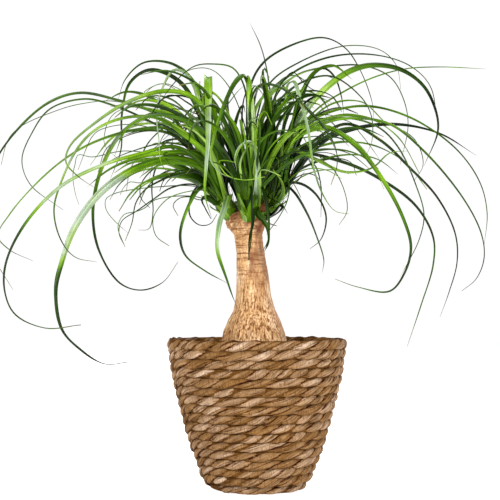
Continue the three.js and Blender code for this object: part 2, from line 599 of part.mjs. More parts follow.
// A blade with three corners: two edges and a keel along its underside
function bladeSolid(leaf) {
  const { line } = leaf;
  const stations = stationsOf(line);
  const middles = stations.map((reach) => pointAt(line, reach));
  let across = null;
  const rings = stations.map((reach, at) => {
    const before = middles[Math.max(0, at - 1)];
    const after = middles[Math.min(middles.length - 1, at + 1)];
    const along = after.clone().sub(before).normalize();
    if (across === null) across = new THREE.Vector3(-leaf.side.y, leaf.side.x, 0);
    across.addScaledVector(along, -across.dot(along)).normalize();
    const toEdge = across.clone().applyAxisAngle(along, leafTwist(leaf, reach, line.length));
    const under = toEdge.clone().cross(along).normalize();
    const width = leafWidth(leaf.width, reach, line.length);
    const keel = LEAF_THICKNESS + LEAF_KEEL * width;
    return [
      middles[at].clone().addScaledVector(toEdge, width / 2).addScaledVector(under, -keel / 2),
      middles[at].clone().addScaledVector(toEdge, -width / 2).addScaledVector(under, -keel / 2),
      middles[at].clone().addScaledVector(under, keel / 2),
    ];
  });
  return solidOf(tubeThrough(rings));
}

// Keeping the shoots' leaves apart

function probesOf(leaf) {
  const count = Math.ceil(leaf.line.length / LEAF_PROBE_STEP);
  const probes = [];
  for (let at = 0; at <= count; at += 1) {
    const reach = (leaf.line.length * at) / count;
    probes.push({
      place: pointAt(leaf.line, reach),
      half: leafWidth(leaf.width, reach, leaf.line.length) / 2,
    });
  }
  return probes;
}

// The middle's sideways place and the radius of the trunk at a height, or none above its top
function trunkAt(height) {
  for (let at = 1; at < TRUNK_RINGS.length; at += 1) {
    const [low, lowMiddle, lowRadius] = TRUNK_RINGS[at - 1];
    const [high, highMiddle, highRadius] = TRUNK_RINGS[at];
    if (height <= high) {
      const part = (height - low) / (high - low);
      const middle = lowMiddle + (highMiddle - lowMiddle) * part;
      return [middle, lowRadius + (highRadius - lowRadius) * part];
    }
  }
  return null;
}

function meetsTrunk(probe) {
  const { place, half } = probe;
  const ring = trunkAt(place.z);
  if (ring !== null) {
    const reach = ring[1] * (1 + TRUNK_FLUTE_DEPTH) + half + LEAF_CLEARANCE;
    if (Math.hypot(place.x - ring[0], place.y) < reach) return true;
  }
  const stump = new THREE.Line3(new THREE.Vector3(...STUMP.foot), new THREE.Vector3(...STUMP.top));
  const nearest = stump.closestPointToPoint(place, true, new THREE.Vector3());
  return nearest.distanceTo(place) < STUMP.radius + half + LEAF_CLEARANCE;
}

function meetsKnobOrShoot(probe, ownHead) {
  return Object.keys(HEADS).some((head) => {
    const base = new THREE.Vector3(...HEADS[head].base);
    const knob = base.clone().add(new THREE.Vector3(0, 0, -KNOB_DROP));
    const nearKnob = probe.place.distanceTo(knob) < KNOB_RADIUS + probe.half + LEAF_CLEARANCE;
    if (head === ownHead) return nearKnob;
    const tip = base.clone().addScaledVector(axisOf(head), SHOOT_TOP);
    const nearest = new THREE.Line3(base, tip)
      .closestPointToPoint(probe.place, true, new THREE.Vector3());
    const reach = SHOOT_RADIUS + probe.half + LEAF_CLEARANCE;
    return nearKnob || nearest.distanceTo(probe.place) < reach;
  });
}

function meetsLeaf(probes, other) {
  return probes.some((probe) => other.probes.some((known) => (
    probe.place.distanceTo(known.place) < probe.half + known.half + LEAF_CLEARANCE)));
}

function isClear(leaf, leaves) {
  const free = leaf.probes.slice(LEAF_SUNK_PROBES);
  if (free.some((probe) => meetsTrunk(probe) || meetsKnobOrShoot(probe, leaf.head))) return false;
  return !leaves.some((other) => other.head !== leaf.head && meetsLeaf(leaf.probes, other));
}

function finished(head, order, width, lean, route) {
  const side = flatDirection(route[0], route[1]);
  const leaf = { head, order, width, lean, side, line: smoothLine(route) };
  leaf.probes = probesOf(leaf);
  return leaf;
}

// A traced leaf that would cross another shoot's leaf is bent forward or back until it clears it
function tracedLeaf(traced, order, leaves) {
  for (let step = 0; step <= BEND_TRIES; step += 1) {
    const shift = (step % 2 === 0 ? 1 : -1) * Math.ceil(step / 2) * BEND_STEP;
    const leaf = finished(
      traced.head, order, traced.width, traced.lean, tracedRoute(traced, order, shift),
    );
    if (isClear(leaf, leaves)) return leaf;
  }
  throw new Error(`traced leaf ${order} of the ${traced.head} shoot finds no clear way`);
}

// The next number of a repeatable run of chance numbers, between low and high
let seed = SEED;
function draw([low, high]) {
  seed = (Math.imul(seed, DRAW_FACTOR) + DRAW_STEP) >>> 0;
  return low + ((high - low) * seed) / DRAW_RANGE;
}

function archedLeaf(fan, order, at, leaves) {
  for (let tries = 0; tries < DRAWS_PER_LEAF; tries += 1) {
    const share = (at * GOLDEN_PART) % 1;
    const turn = fan.facing + fan.spread * (share - 0.5) + draw([-FAN_SCATTER, FAN_SCATTER]);
    const rise = draw(fan.rise);
    const droop = draw(FAN_DROOP);
    const curl = draw([-FAN_CURL, FAN_CURL]);
    const length = draw(fan.length);
    const width = draw(FAN_WIDTH);
    const lean = draw([-FAN_LEAN, FAN_LEAN]);
    const [turnR, riseR, droopR, curlR] = [turn, rise, droop, curl].map(THREE.MathUtils.degToRad);
    const route = archedRoute(fan.head, order, turnR, riseR, droopR, curlR, length, fan.bend);
    const leaf = finished(fan.head, order, width, lean, route);
    if (route[route.length - 1].z > FAN_LOWEST && isClear(leaf, leaves)) return leaf;
  }
  return null;
}

function allLeaves() {
  const leaves = [];
  const counts = { left: 0, front: 0, right: 0, back: 0 };
  TRACED_LEAVES.forEach((traced) => {
    leaves.push(tracedLeaf(traced, counts[traced.head], leaves));
    counts[traced.head] += 1;
  });
  SHOOT_FANS.forEach((fan) => {
    for (let at = 0; at < fan.leaves; at += 1) {
      const leaf = archedLeaf(fan, counts[fan.head], at, leaves);
      if (leaf !== null) leaves.push(leaf);
      counts[fan.head] += 1;
    }
  });
  return leaves;
}

// The outer body alone: small hollows closed in among crossing leaves are filled by leaving them out
function outerBody(solid) {
  return solid.decompose().reduce((most, body) => (body.volume() > most.volume() ? body : most));
}

// True where every edge, told by the places of its two ends, belongs to exactly two faces
function edgesPair(solid) {
  const geometry = mergeVertices(geometryOf(solid), MERGE_DISTANCE);
  const corners = geometry.index.array;
  const uses = new Map();
  for (let face = 0; face < corners.length; face += 3) {
    for (let corner = 0; corner < 3; corner += 1) {
      const ends = [corners[face + corner], corners[face + ((corner + 1) % 3)]];
      const edge = `${Math.min(...ends)} ${Math.max(...ends)}`;
      uses.set(edge, (uses.get(edge) ?? 0) + 1);
    }
  }
  return [...uses.values()].every((count) => count === 2);
}

// The plainest form of the fused leaves whose faces don't pinch together along an edge
function plainer(fused) {
  for (const distance of LEAF_MERGES) {
    const simpler = outerBody(fused).asOriginal().simplify(distance);
    const solid = outerBody(solidOf(geometryOf(simpler)));
    if (edgesPair(solid)) return solid;
  }
  throw new Error('the fused leaves pinch together along an edge');
}

function headMesh(head, leaves) {
  const own = leaves.filter((leaf) => leaf.head === head).map(bladeSolid);
  const fused = wasm.Manifold.union([solidOf(shootGeometry(head, 0)), ...own]);
  return meshOf(`head_${head}`, plainer(fused), materials.leaf);
}

const palm = new THREE.Group();
const everyLeaf = allLeaves();
palm.add(basket(), liner(), growPot(), soil(), trunk());
Object.keys(HEADS).forEach((head) => palm.add(headMesh(head, everyLeaf)));

export default palm;
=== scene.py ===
# Potted ponytail palm in a rope basket: the looks of every piece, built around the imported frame.
# Lengths are millimetres here, with +Z up, and become metres as each mesh is made. The side with
# the tall left sweep of leaves is seen by looking along +Y.

import math

import bpy
import numpy as np
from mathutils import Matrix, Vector, noise


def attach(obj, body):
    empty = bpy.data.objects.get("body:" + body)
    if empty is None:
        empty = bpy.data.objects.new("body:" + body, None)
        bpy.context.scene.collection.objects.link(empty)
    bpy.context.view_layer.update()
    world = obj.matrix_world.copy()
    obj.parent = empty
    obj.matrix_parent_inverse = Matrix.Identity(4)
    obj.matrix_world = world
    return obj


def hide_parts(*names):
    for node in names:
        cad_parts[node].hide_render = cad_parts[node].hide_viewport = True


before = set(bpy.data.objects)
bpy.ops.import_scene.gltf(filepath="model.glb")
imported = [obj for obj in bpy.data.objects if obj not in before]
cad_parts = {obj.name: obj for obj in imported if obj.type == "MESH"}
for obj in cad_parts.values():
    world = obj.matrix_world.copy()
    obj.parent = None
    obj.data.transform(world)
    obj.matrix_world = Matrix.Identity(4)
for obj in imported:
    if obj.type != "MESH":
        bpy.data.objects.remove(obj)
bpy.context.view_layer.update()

MM = 0.001

# Camera: level, with its view shifted up, so that upright things stay upright as in the photograph
EYE = np.array([-7.0, -1100.0, 177.0])
CAMERA_LENS = 79.2
CAMERA_SHIFT = 0.12

# Studio: the white backdrop as it is seen, the light that it gives, and the floor
WORLD_SEEN = 1.02
WORLD_LIGHT = 0.3
FLOOR_GLOW = 0.72
FLOOR_HALF = 4000
FLOOR_TOP = -0.4
# Lamps in metres and watts: name, place, aim, width and power
LAMPS = [
    ("key", (-2.1, -3.3, 2.3), (0, 0, 0.25), 1.9, 195),
    ("fill", (2.8, -2.4, 1.4), (0, 0, 0.2), 1.8, 105),
    ("top", (0.2, 0.6, 3.3), (0, 0, 0.3), 1.8, 56),
    ("rim", (1.6, 2.2, 1.85), (0, 0, 0.35), 1.6, 56),
]

# Basket, as the frame has it
BASKET_HEIGHT = 148
BASKET_OUTLINE = [(0, 39), (5, 50.5), (12, 56.5), (23, 60.5), (47, 69), (71, 76.2), (95, 82),
                  (119, 87), (148, 90.5)]
BASKET_WALL = 8
BASKET_FLOOR = 8
BASKET_FLOOR_RADIUS = 44.5
BASKET_INNER_CORNER = 34
ROPE_ROWS = 17
ROPE_ROW = BASKET_HEIGHT / ROPE_ROWS

# Rope: two strands laid round each other, flattened against the wall
STRAND_RADIUS = 3.6
STRAND_LAY = 1.6
ROPE_FLATTEN = 0.7
ROPE_PITCH = 39
PITCH_SPREAD = 0.65
ROPE_STEP = 2.5
ROPE_DEPTH = 3.95
# How far its rows sag together, and how far each one wavers up and down, and in and out
ROPE_SAG = 0.9
ROPE_WAVER_UP = 0.75
ROPE_WAVER_OUT = 0.5
# Lengths along the rope over which its twist changes, and the turn that the shorter one adds
TWIST_LONG = 70
TWIST_SHORT = 26
TWIST_SHORT_TURN = 0.7
STALKS = 5
STALK_POINTS = 4
STALK_COUNTER_TWIST = 0.42
# Each bulge of a strand has its own tone and size, and a few are paler
BULGE_TONES = (0.0, 0.95)
BULGE_SIZES = (0.78, 1.14)
BULGE_LEAST = 0.92
BULGE_SWELL = 0.15
PALE_SHARE = 0.1
PALE_LIFT = 0.3
# For the stalks' tones and sizes: the length along the rope over which they change, the step from
# one stalk's chance numbers to the next one's, and how many waves are added up
STALK_WAVES = ((38, 31, 2), (22, 57, 1))
STALK_SWELL = 0.09
# What the tone of a point is made up of; its last share is a painted highlight where each bulge stands out
# furthest
TONE_BASE = 0.14
TONE_OF_BULGE = 0.62
TONE_OF_STALK = 0.42
TONE_OF_CREST_HIGHLIGHT = 0.16
# The coil climbs to the next row from this angle on, over this share of a turn
CLIMB_START = 215
CLIMB_SHARE = 0.13
RIM_END_DROP = 0.3
# The floor's spiral
FLOOR_TURNS = 4.9
FLOOR_POINTS = 330
FLOOR_START = 3.5
FLOOR_END = 44.5
FLOOR_LEVEL = 4.3
FLOOR_SIZE = 0.93
# The dark filling behind the strands, painted as the shade in the gaps between the rows
CORE_SIDES = 96
CORE_DEPTH = 4.4
CORE_HALF_WIDTH = 2.7
CORE_HALF_HEIGHT = 4.6
# Broken fibres on the wall, and the frayed end at the rim
FIBRE_SEED = 11
FIBRE_COUNT = 900
FIBRE_OFF_ROW = 3.4
ROW_ROUNDING = 4.4
FIBRE_RISE = (-0.1, 0.75)
FIBRE_LENGTH = (3.5, 11)
FIBRE_WIDTH = (0.5, 1.1)
FIBRE_TONE = (0.2, 1.0)
FIBRE_BOW = (0.2, 1.9)
FRAYED_COUNT = 26
FRAYED_LEVEL = 142
FRAYED_RISE = (-0.5, 0.3)
FRAYED_LENGTH = (5, 11)
FRAYED_WIDTH = (0.7, 1.3)
FRAYED_TONE = (0.3, 0.9)
FRAYED_BOW = (-0.5, 2.0)

# Liner, pot and soil
SEAT_GAP = 0.3
LINER_THICKNESS = 0.8
LINER_TOP = 136
LINER_ROWS = 16
LINER_SIDES = 200
POT_TOP = 126
POT_TOP_RADIUS = 65
POT_BASE_RADIUS = 42
POT_WALL = 1.5
POT_LIP = 2.5
POT_LIP_HEIGHT = 8
POT_SIDES = 160
POT_FOOT = BASKET_FLOOR + LINER_THICKNESS + 2 * SEAT_GAP
SOIL_TOP = 120
SOIL_DOME = 3
SOIL_UNDERSIDE = 100
SOIL_REACH = 61
SOIL_HOLE = 38.9
SOIL_HOLE_SHIFT = -2.0
SOIL_HOLE_FOOT = 112.0
SOIL_HOLE_BELOW = 34
SOIL_RINGS = 22
SOIL_SPOKES = 220
SOIL_SEED = 5
CRUMB_COUNT = 520
CRUMB_START = 40.5
CRUMB_SIZE = (0.7, 2.0)
# Crumbs whose chance number is below the first are white grains, and below the second bits of bark
WHITE_BELOW = 0.07
BITS_BELOW = 0.22

# Trunk: height, sideways shift of the middle, and radius
TRUNK_RINGS = [
    (82, -2, 9), (88, -2, 20), (98, -2, 30), (112, -2, 36.5), (127, -2, 37.5), (138, -2, 35.5),
    (147, -2, 32.5), (155, -2.4, 30.6), (167, -2.4, 26), (177, -2.2, 20.8), (191, -3.5, 17.5),
    (206, -4.3, 16.3), (220, -5.5, 15.1), (233, -6.9, 14.2), (244, -8.2, 13.8), (251, -9.1, 14.1),
    (259, -11.2, 17.6), (266, -11.2, 18.6), (272, -11.2, 15.5), (275, -11.2, 10)]
TRUNK_FLUTES = 5
TRUNK_FLUTE_DEPTH = 0.035
TRUNK_FLUTE_CLIMB = 40
KNOB_RADIUS = 9.5
KNOB_DROP = 2
TRUNK_ROWS = 130
TRUNK_SIDES = 96
# Lumps under the shoots and between them: place and radius
TRUNK_LUMPS = [
    (-23.6, 0, 264.5, 7.8), (-8.5, -13, 264, 8.6), (2, 1.5, 266, 7.8), (-9, 14, 265, 9),
    (-17.5, -9, 268, 6.5), (-1, -11, 266, 5.5), (6, -6.5, 279, 4.6), (8, -9, 285, 3.2),
    (-24, -6, 260.5, 4.6), (0, 10, 262, 6)]
# One skin round the column and its lumps: the size of its cells in metres, and rounds of smoothing
SKIN_VOXEL = 0.0011
SKIN_SMOOTHING = 3
# Bark: heights where its cracks end and where its rings, its knobby head and its dark top begin,
# each with the height over which that changes
CRACKS_END, CRACKS_FADE = 205, 45
RINGS_START, RINGS_FADE = 188, 40
HEAD_START, HEAD_FADE = 252, 8
TOP_START, TOP_FADE = 262, 9
# Its chance patterns: how fine they are round the trunk, their height and a shift, and the sizes
# of its knobs
CRACKS = (5.2, 34)
FINE_CRACKS = (11, 15, 7)
RINGS = (0.9, 2.7)
WIDE_RINGS = (0.7, 8, 3)
PATCHES = (2.4, 16, 20)
KNOBS = 4.2
FINE_KNOBS = 2
# How wide the cracks are in their patterns, and how deep the finer ones beside the others
CRACK_WIDTH = 0.11
FINE_CRACK_WIDTH = 0.13
FINE_CRACK_SHARE = 0.55
# How far the patterns cut in or stand out, in millimetres
CRACK_DEPTH = 0.4
RING_RISE = 0.35
WIDE_RING_RISE = 0.5
KNOBBY_FOOT = 0.25
# How much they darken it: painted shade in the cracks and in the hollows between the knobs,
# and a darker top
CRACK_DARK = 0.15
TOP_DARK = 0.7
HOLLOW_DARK = 0.7
# The stump of the cut stem, and its outline of radius and way up
STUMP_FOOT = np.array([-18.5, 3, 268])
STUMP_TOP = np.array([-19.5, 3, 286])
STUMP_RADIUS = 5.4
CUT_SEED = 3
CUT_SIDES = 30
CUT_PROFILE = [(0.05, 0), (5.4, 0), (5.5, 6), (5.3, 12), (5.5, 15.6), (5.1, 17.3), (4.2, 17.9),
               (2.6, 17.2), (1.2, 16.6), (0.05, 16.4)]

# Shoots: outline of radius and way up, and for each head its foot and the way that it grows
SHOOT_PROFILE = [(6, -4), (7.5, 1), (8.8, 8), (10.2, 18), (9.6, 28), (5, 36), (0, 38)]
SHOOT_TOP = 38
SHOOT_RADIUS = 10.2
SHOOT_SIDES = 28
SHOOT_LEVELS = (-4.5, -4, 0, 5, 10, 15, 20, 25, 29, 31)
HEADS = {
    "left": ([-25.5, 0, 270], [-0.5, 0, 0.87]),
    "front": ([-8.5, -15, 267], [0.05, -0.5, 0.87]),
    "right": ([4.5, 1.5, 270], [0.5, 0, 0.87]),
    "back": ([-9, 16, 268], [0, 0.5, 0.87]),
}

# Leaves: where they start on the shoot, how they widen, thin and twist, and how they keep clear
ROOT_LOW = 4
ROOT_HIGH = 22
ROOT_OUT = 4.5
ROOT_SPIRAL = 0.9
GOLDEN_PART = 0.618034
EMERGE_UP = 17
EMERGE_OUT = 5
LEAF_ROOT_LENGTH = 40
LEAF_ROOT_SHARE = 0.35
LEAF_TAPER = 2.4
LEAF_TIP_WIDTH = 1
TWIST_AT_ROOT = 0.85
TWIST_WAVE = 12
TWIST_WAVES = 5
LINE_SAMPLES = 16
LEAF_CLEARANCE = 1.4
LEAF_PROBE_STEP = 5
LEAF_SUNK_PROBES = 3
BEND_STEP = 5
BEND_TRIES = 40
BEND_GROWTH = 3
DEPTH_EASE = 0.75

# Blades: a step along them, the share of their width at the root, and the wide foot
BLADE_STEP = 3.4
BLADE_ROOT_SHARE = 0.85
BLADE_FOOT = 26
FOOT_WIDER = 0.6
FOOT_KEEL = 1.4
# A blade narrows from its middle on and closes over the last tenth to a share of its width
NARROWER = 0.25
TIP_PART = 0.1
TIP_SHARE = 0.12
# Depth of the fold and thickness, each with a share that grows with the width
KEEL = (0.3, 0.22)
THICKNESS = (0.26, 0.02)
RIPPLE = 0.04
# Places across the upper face and back across the lower one, from -1 to 1, and the width up to
# which a blade has the plainer section
WIDE_SECTION = ([1, 0.92, 0.45, 0, -0.45, -0.92, -1], [-0.9, -0.45, 0, 0.45, 0.9])
FINE_SECTION = ([1, 0.82, 0, -0.82, -1], [-0.75, 0, 0.75])
FINE_WIDTH = 3
# The crown's middle, round which shade is painted on the blades, and how its roundness is measured
CROWN_MIDDLE = np.array([-8.0, 22.0, 312.0])
CROWN_SCALE = (0.9, 1, 0.85)
# How far from it the painted shade ends and the far part begins, each with the length of the change,
# and how much painted shade they put on the blades
DARK_END, DARK_FADE, DARK_DEPTH = 92, 72, 0.92
FAR_START, FAR_FADE, FAR_DEPTH = 80, 50, 0.22

# Traced leaves of each shoot, in the frame's order: shoot, width, depth of the tip or none, lean,
# tones from root to tip, whose palest give painted sheen and whose dark far ends partly painted shade,
# and route. A route holds sideways place and height where the line of sight crosses y = 0, and where
# there is no depth of the tip, each point's own depth.
TRACED_LEAVES = [
    ("left", 3.4, 60, 62, (0.5, 0.4, 0.3, 0.25, 0.2, 0.25, 0.2), [(-57, 354), (-97, 373), (-137, 386),
     (-177, 394), (-207, 385), (-237, 360), (-262, 325), (-275, 282), (-272, 247), (-244, 197)]),
    ("left", 2.4, 105, -60, (0.5, 0.35, 0.25, 0.3, 0.3, 0.25, 0.12), [(-57, 337), (-102, 363),
     (-142, 381), (-172, 388), (-207, 378), (-225, 354), (-235, 327), (-227, 303), (-194, 277)]),
    ("left", 5, -85, 48, (0.5, 0.55, 0.6, 0.65, 0.92, 0.9, 0.15), [(-50, 372), (-66, 391), (-92, 396),
     (-127, 386), (-162, 364), (-187, 341), (-191, 325), (-178, 310), (-162, 299)]),
    ("left", 3.2, -60, 64, (0.4, 0.5, 0.7, 0.72, 0.85, 0.95, 0.35, 0.25, 0.2), [(-62, 345), (-97, 368),
     (-127, 370), (-157, 360), (-177, 342), (-195, 307), (-203, 277), (-196, 247), (-182, 230),
     (-160, 225)]),
    ("left", 3.2, 24, -66, (0.4, 0.35, 0.35, 0.45, 0.8, 0.85, 0.4, 0.3), [(-55, 338), (-87, 358),
     (-122, 357), (-162, 345), (-192, 328), (-222, 302), (-247, 273), (-259, 251), (-247, 237),
     (-224, 226)]),
    ("left", 3.8, -110, 60, (0.4, 0.4, 0.4, 0.4, 0.4, 0.45, 0.5, 0.75, 0.9, 0.94, 0.94, 0.92, 0.35, 0.2,
     0.15, 0.15, 0.15, 0.15, 0.15, 0.18, 0.2), [(-57, 325), (-82, 340), (-117, 333), (-157, 321),
     (-197, 300), (-232, 263), (-251, 224), (-252, 195), (-242, 173), (-212, 159), (-176, 162)]),
    ("left", 2.6, 96, -60, (0.4, 0.3, 0.3), [(-54, 332), (-87, 344), (-127, 335), (-152, 324)]),
    ("left", 7.6, -70, 66, (0.4, 0.45, 0.5, 0.55, 0.55, 0.45, 0.5, 0.86, 0.94, 0.97, 0.98, 0.97, 0.95,
     0.3, 0.12, 0.1, 0.1, 0.1, 0.1, 0.12, 0.15), [(-52, 318), (-82, 329), (-107, 324), (-127, 316),
     (-157, 294), (-182, 260), (-195, 225), (-201, 197), (-195, 158), (-177, 138), (-152, 123),
     (-129, 125)]),
    ("left", 6.2, -35, 70, (0.4, 0.5, 0.5, 0.45), [(-57, 331), (-90, 334), (-117, 330), (-147, 318),
     (-170, 300)]),
    ("left", 5, 75, -62, (0.5, 0.65, 0.78, 0.85, 0.95, 0.6, 0.15, 0.12, 0.2, 0.35), [(-52, 352),
     (-87, 373), (-107, 372), (-137, 352), (-156, 317), (-164, 275), (-158, 237), (-137, 204),
     (-116, 197), (-94, 205), (-79, 225)]),
    ("left", 2.4, 120, -55, (0.3, 0.15, 0.12, 0.12), [(-57, 332), (-87, 353), (-117, 355), (-150, 339),
     (-159, 315)]),
    ("left", 5, 45, -58, (0.5, 0.65, 0.6, 0.2, 0.05, 0.3, 0.35, 0.2), [(-53, 362), (-77, 405),
     (-107, 417), (-127, 404), (-135, 372), (-136, 337), (-147, 307)]),
    ("left", 5, 90, -48, (0.5, 0.7, 0.65, 0.5, 0.3, 0.2, 0.25), [(-48, 372), (-67, 410), (-87, 424),
     (-114, 424), (-132, 407), (-139, 387)]),
    ("left", 3.4, -45, 58, (0.4, 0.45, 0.6, 0.85, 0.95, 0.95, 1, 0.9, 0.3), [(-47, 350), (-62, 398),
     (-72, 414), (-83, 417), (-93, 402), (-100, 377), (-98, 347), (-96, 325), (-87, 311)]),
    ("left", 9.2, None, 54, (0.4, 0.4, 0.45, 0.4, 0.35, 0.55, 0.8, 0.98, 1, 0.6, 0.25), [(-42, 322, -8),
     (-47, 350, -12), (-49, 380, -18), (-49, 401, -25), (-49, 411, -40), (-49, 400, -55), (-49, 350, -64),
     (-51, 320, -68), (-52, 292, -70), (-45, 268, -70)]),
    ("left", 3.6, None, -12, (0.55, 0.8, 0.95, 0.98, 0.85, 0.4, 0.3, 0.25), [(-44, 300, -14),
     (-50, 293, -26), (-49, 268, -34), (-40, 232, -40), (-29, 203, -46), (-21, 177, -50)]),
    ("left", 3.6, None, -60, (0.3, 0.08, 0.45, 0.5, 0.1, 0.3, 0.35, 0.3), [(-46, 301, -10),
     (-58, 298, -22), (-70, 278, -32), (-77, 252, -40), (-72, 232, -46), (-52, 216, -52),
     (-30, 204, -56)]),
    ("left", 2.2, -30, 60, (0.3, 0.15, 0.1, 0.12, 0.2), [(-60, 322), (-92, 324), (-107, 315), (-116, 302),
     (-116, 289), (-107, 279)]),
    ("left", 2.4, 40, 76, (0.35, 0.3, 0.25, 0.2, 0.12, 0.25), [(-58, 326), (-84, 333), (-99, 323),
     (-105, 302), (-104, 274), (-108, 258), (-119, 257)]),
    ("left", 2.4, -62, 60, (0.3, 0.2, 0.15, 0.15, 0.25), [(-56, 314), (-82, 312), (-99, 305), (-112, 297),
     (-121, 284), (-125, 264), (-132, 246)]),
    ("left", 2, 62, 60, (0.3, 0.2, 0.1, 0.15, 0.2, 0.3), [(-62, 302), (-86, 299), (-103, 288),
     (-120, 276), (-135, 266), (-138, 254), (-132, 240)]),
    ("left", 2.2, None, 60, (0.2, 0.08, 0.08, 0.1, 0.2), [(-48, 305, 10), (-60, 300, 20), (-67, 287, 28),
     (-67, 271, 34), (-58, 262, 40), (-47, 263, 44), (-40, 273, 46)]),
    ("front", 2, -60, 10, (0.4, 0.2, 0.15, 0.25, 0.3, 0.25), [(-10, 350), (-12, 398), (-24, 419),
     (-45, 423), (-62, 421), (-77, 410), (-92, 392), (-99, 381)]),
    ("front", 6.8, None, 80, (0.4, 0.4, 0.35, 0.25, 0.3, 0.3, 0.4, 0.6, 0.85, 0.9), [(-5, 337, -30),
     (-5, 377, -36), (-7, 400, -42), (-13, 412, -52), (-22, 405, -64), (-33, 382, -72), (-44, 347, -78),
     (-46, 327, -82), (-36, 314, -86), (-22, 308, -90)]),
    ("front", 2.8, -110, -12, (0.3, 0.2, 0.2, 0.15, 0.2, 0.25), [(-7, 350), (-6, 388), (3, 402),
     (20, 401), (43, 385), (65, 363), (78, 340), (80, 322), (74, 302)]),
    ("front", 2.6, None, 18, (0.2, 0.1, 0.05, 0.1, 0.2), [(-7, 300, -32), (-6, 300, -44), (-5, 284, -52),
     (-5, 262, -54), (-6, 246, -54), (-9, 226, -52)]),
    ("front", 4, None, 2, (0.3, 0.2, 0.1, 0.08, 0.12, 0.2), [(1, 299, -32), (6, 297, -45), (10, 280, -54),
     (12, 262, -56), (11, 246, -56), (5, 235, -55)]),
    ("front", 5.6, None, 4, (0.6, 0.7, 0.85, 0.9, 0.7), [(-3, 312, -35), (-1, 332, -45), (-7, 344, -56),
     (-16, 341, -64), (-23, 324, -68)]),
    ("front", 6, None, 36, (0.35, 0.4, 0.6, 0.8, 0.75, 0.6), [(-3, 330, -24), (3, 365, -22),
     (12, 390, -20), (25, 399, -16), (36, 388, -14), (41, 366, -12)]),
    ("back", 2.4, 55, 32, (0.2, 0.15, 0.15, 0.2, 0.25), [(2, 330), (13, 375), (11, 410), (4, 440),
     (-7, 464)]),
    ("back", 2.8, 120, 14, (0.3, 0.2, 0.15, 0.15, 0.2, 0.2), [(-10, 340), (-7, 400), (8, 426), (43, 445),
     (68, 449), (88, 439), (103, 417), (115, 385), (117, 367)]),
    ("back", 2, 150, 38, (0.3, 0.25, 0.2, 0.25, 0.25, 0.35), [(0, 370), (13, 404), (43, 425), (88, 441),
     (123, 437), (139, 422), (144, 397)]),
    ("right", 2.4, 90, 14, (0.4, 0.3, 0.35, 0.25, 0.15, 0.2, 0.15), [(8, 380), (33, 412), (73, 430),
     (118, 432), (153, 421), (173, 401), (181, 362)]),
    ("right", 6.8, -45, -60, (0.55, 0.7, 0.82, 0.85, 0.8, 0.5, 0.2, 0.08, 0.05, 0.1, 0.2), [(30, 332),
     (46, 372), (68, 398), (93, 416), (115, 422), (143, 418), (165, 403), (177, 382), (181, 357),
     (167, 321)]),
    ("right", 2, 40, 76, (0.4, 0.55, 0.6, 0.55, 0.5, 0.6), [(35, 345), (58, 376), (88, 396), (118, 410),
     (148, 418), (183, 420), (230, 418)]),
    ("right", 4.2, -20, -55, (0.3, 0.25, 0.25, 0.2, 0.1, 0.2, 0.1), [(30, 350), (43, 384), (53, 408),
     (66, 419), (77, 411), (84, 392), (87, 371)]),
    ("right", 2.2, 130, 40, (0.4, 0.3, 0.2, 0.2, 0.25, 0.3, 0.35), [(16, 385), (38, 411), (78, 421),
     (108, 421), (133, 410), (146, 389), (151, 362), (143, 322)]),
    ("right", 2.2, -75, -28, (0.3, 0.2, 0.2, 0.2, 0.25, 0.2), [(18, 378), (40, 402), (73, 411),
     (103, 391), (114, 372), (115, 347), (110, 333)]),
    ("right", 2.2, 70, 14, (0.4, 0.3, 0.15, 0.1), [(18, 378), (48, 396), (73, 392), (85, 375)]),
    ("right", 4.4, None, 20, (0.5, 0.65, 0.75, 0.8, 0.8, 0.9, 0.95, 0.9, 0.85, 0.75), [(25, 335, -20),
     (29, 385, -32), (31, 402, -40), (37, 405, -52), (43, 388, -62), (51, 357, -68), (56, 322, -74),
     (65, 294, -80), (78, 276, -84), (92, 273, -86)]),
    ("right", 2.8, 20, 62, (0.5, 0.7, 0.72, 0.6, 0.4, 0.35, 0.3, 0.25, 0.3), [(30, 345), (53, 366),
     (88, 379), (118, 380), (158, 367), (200, 337), (223, 304), (230, 274), (227, 240)]),
    ("right", 2.8, -100, -62, (0.4, 0.55, 0.6, 0.5, 0.3, 0.3, 0.25, 0.2, 0.2), [(32, 340), (63, 362),
     (93, 369), (133, 363), (168, 335), (206, 289), (224, 254), (227, 229), (219, 208), (205, 196)]),
    ("right", 2.2, 110, 60, (0.4, 0.5, 0.5, 0.35, 0.25, 0.2), [(30, 340), (63, 362), (103, 369),
     (133, 362), (158, 347), (166, 322), (157, 306)]),
    ("right", 3.2, 65, 62, (0.3, 0.35, 0.3, 0.15, 0.1, 0.08, 0.1, 0.15, 0.2), [(30, 325), (55, 345),
     (89, 363), (123, 347), (153, 319), (180, 290), (198, 254), (200, 225), (192, 195), (183, 170)]),
    ("right", 2, -60, -54, (0.4, 0.5, 0.4, 0.25, 0.25, 0.3, 0.3), [(28, 335), (55, 362), (88, 369),
     (121, 360), (141, 340), (160, 299), (167, 272), (162, 247), (143, 210)]),
    ("right", 5, -70, -62, (0.5, 0.6, 0.7, 0.6, 0.5, 0.5, 0.45, 0.4, 0.08, 0.3, 0.5), [(24, 330),
     (43, 352), (68, 360), (98, 342), (126, 307), (147, 267), (154, 240), (148, 215), (133, 196),
     (101, 200), (78, 208)]),
    ("right", 3.6, 95, 60, (0.3, 0.2, 0.12, 0.1, 0.1, 0.1, 0.3, 0.45, 0.55), [(20, 318), (43, 333),
     (83, 326), (118, 311), (158, 282), (176, 250), (176, 222), (164, 182), (150, 140)]),
    ("right", 4, -35, -34, (0.4, 0.5, 0.6, 0.7, 0.75, 0.6, 0.6), [(20, 328), (35, 337), (58, 328),
     (88, 315), (115, 319), (133, 334), (151, 336)]),
    ("right", 3.2, 45, 60, (0.35, 0.2, 0.2, 0.15, 0.15, 0.35), [(26, 303), (44, 303), (60, 291),
     (69, 270), (64, 248), (53, 238)]),
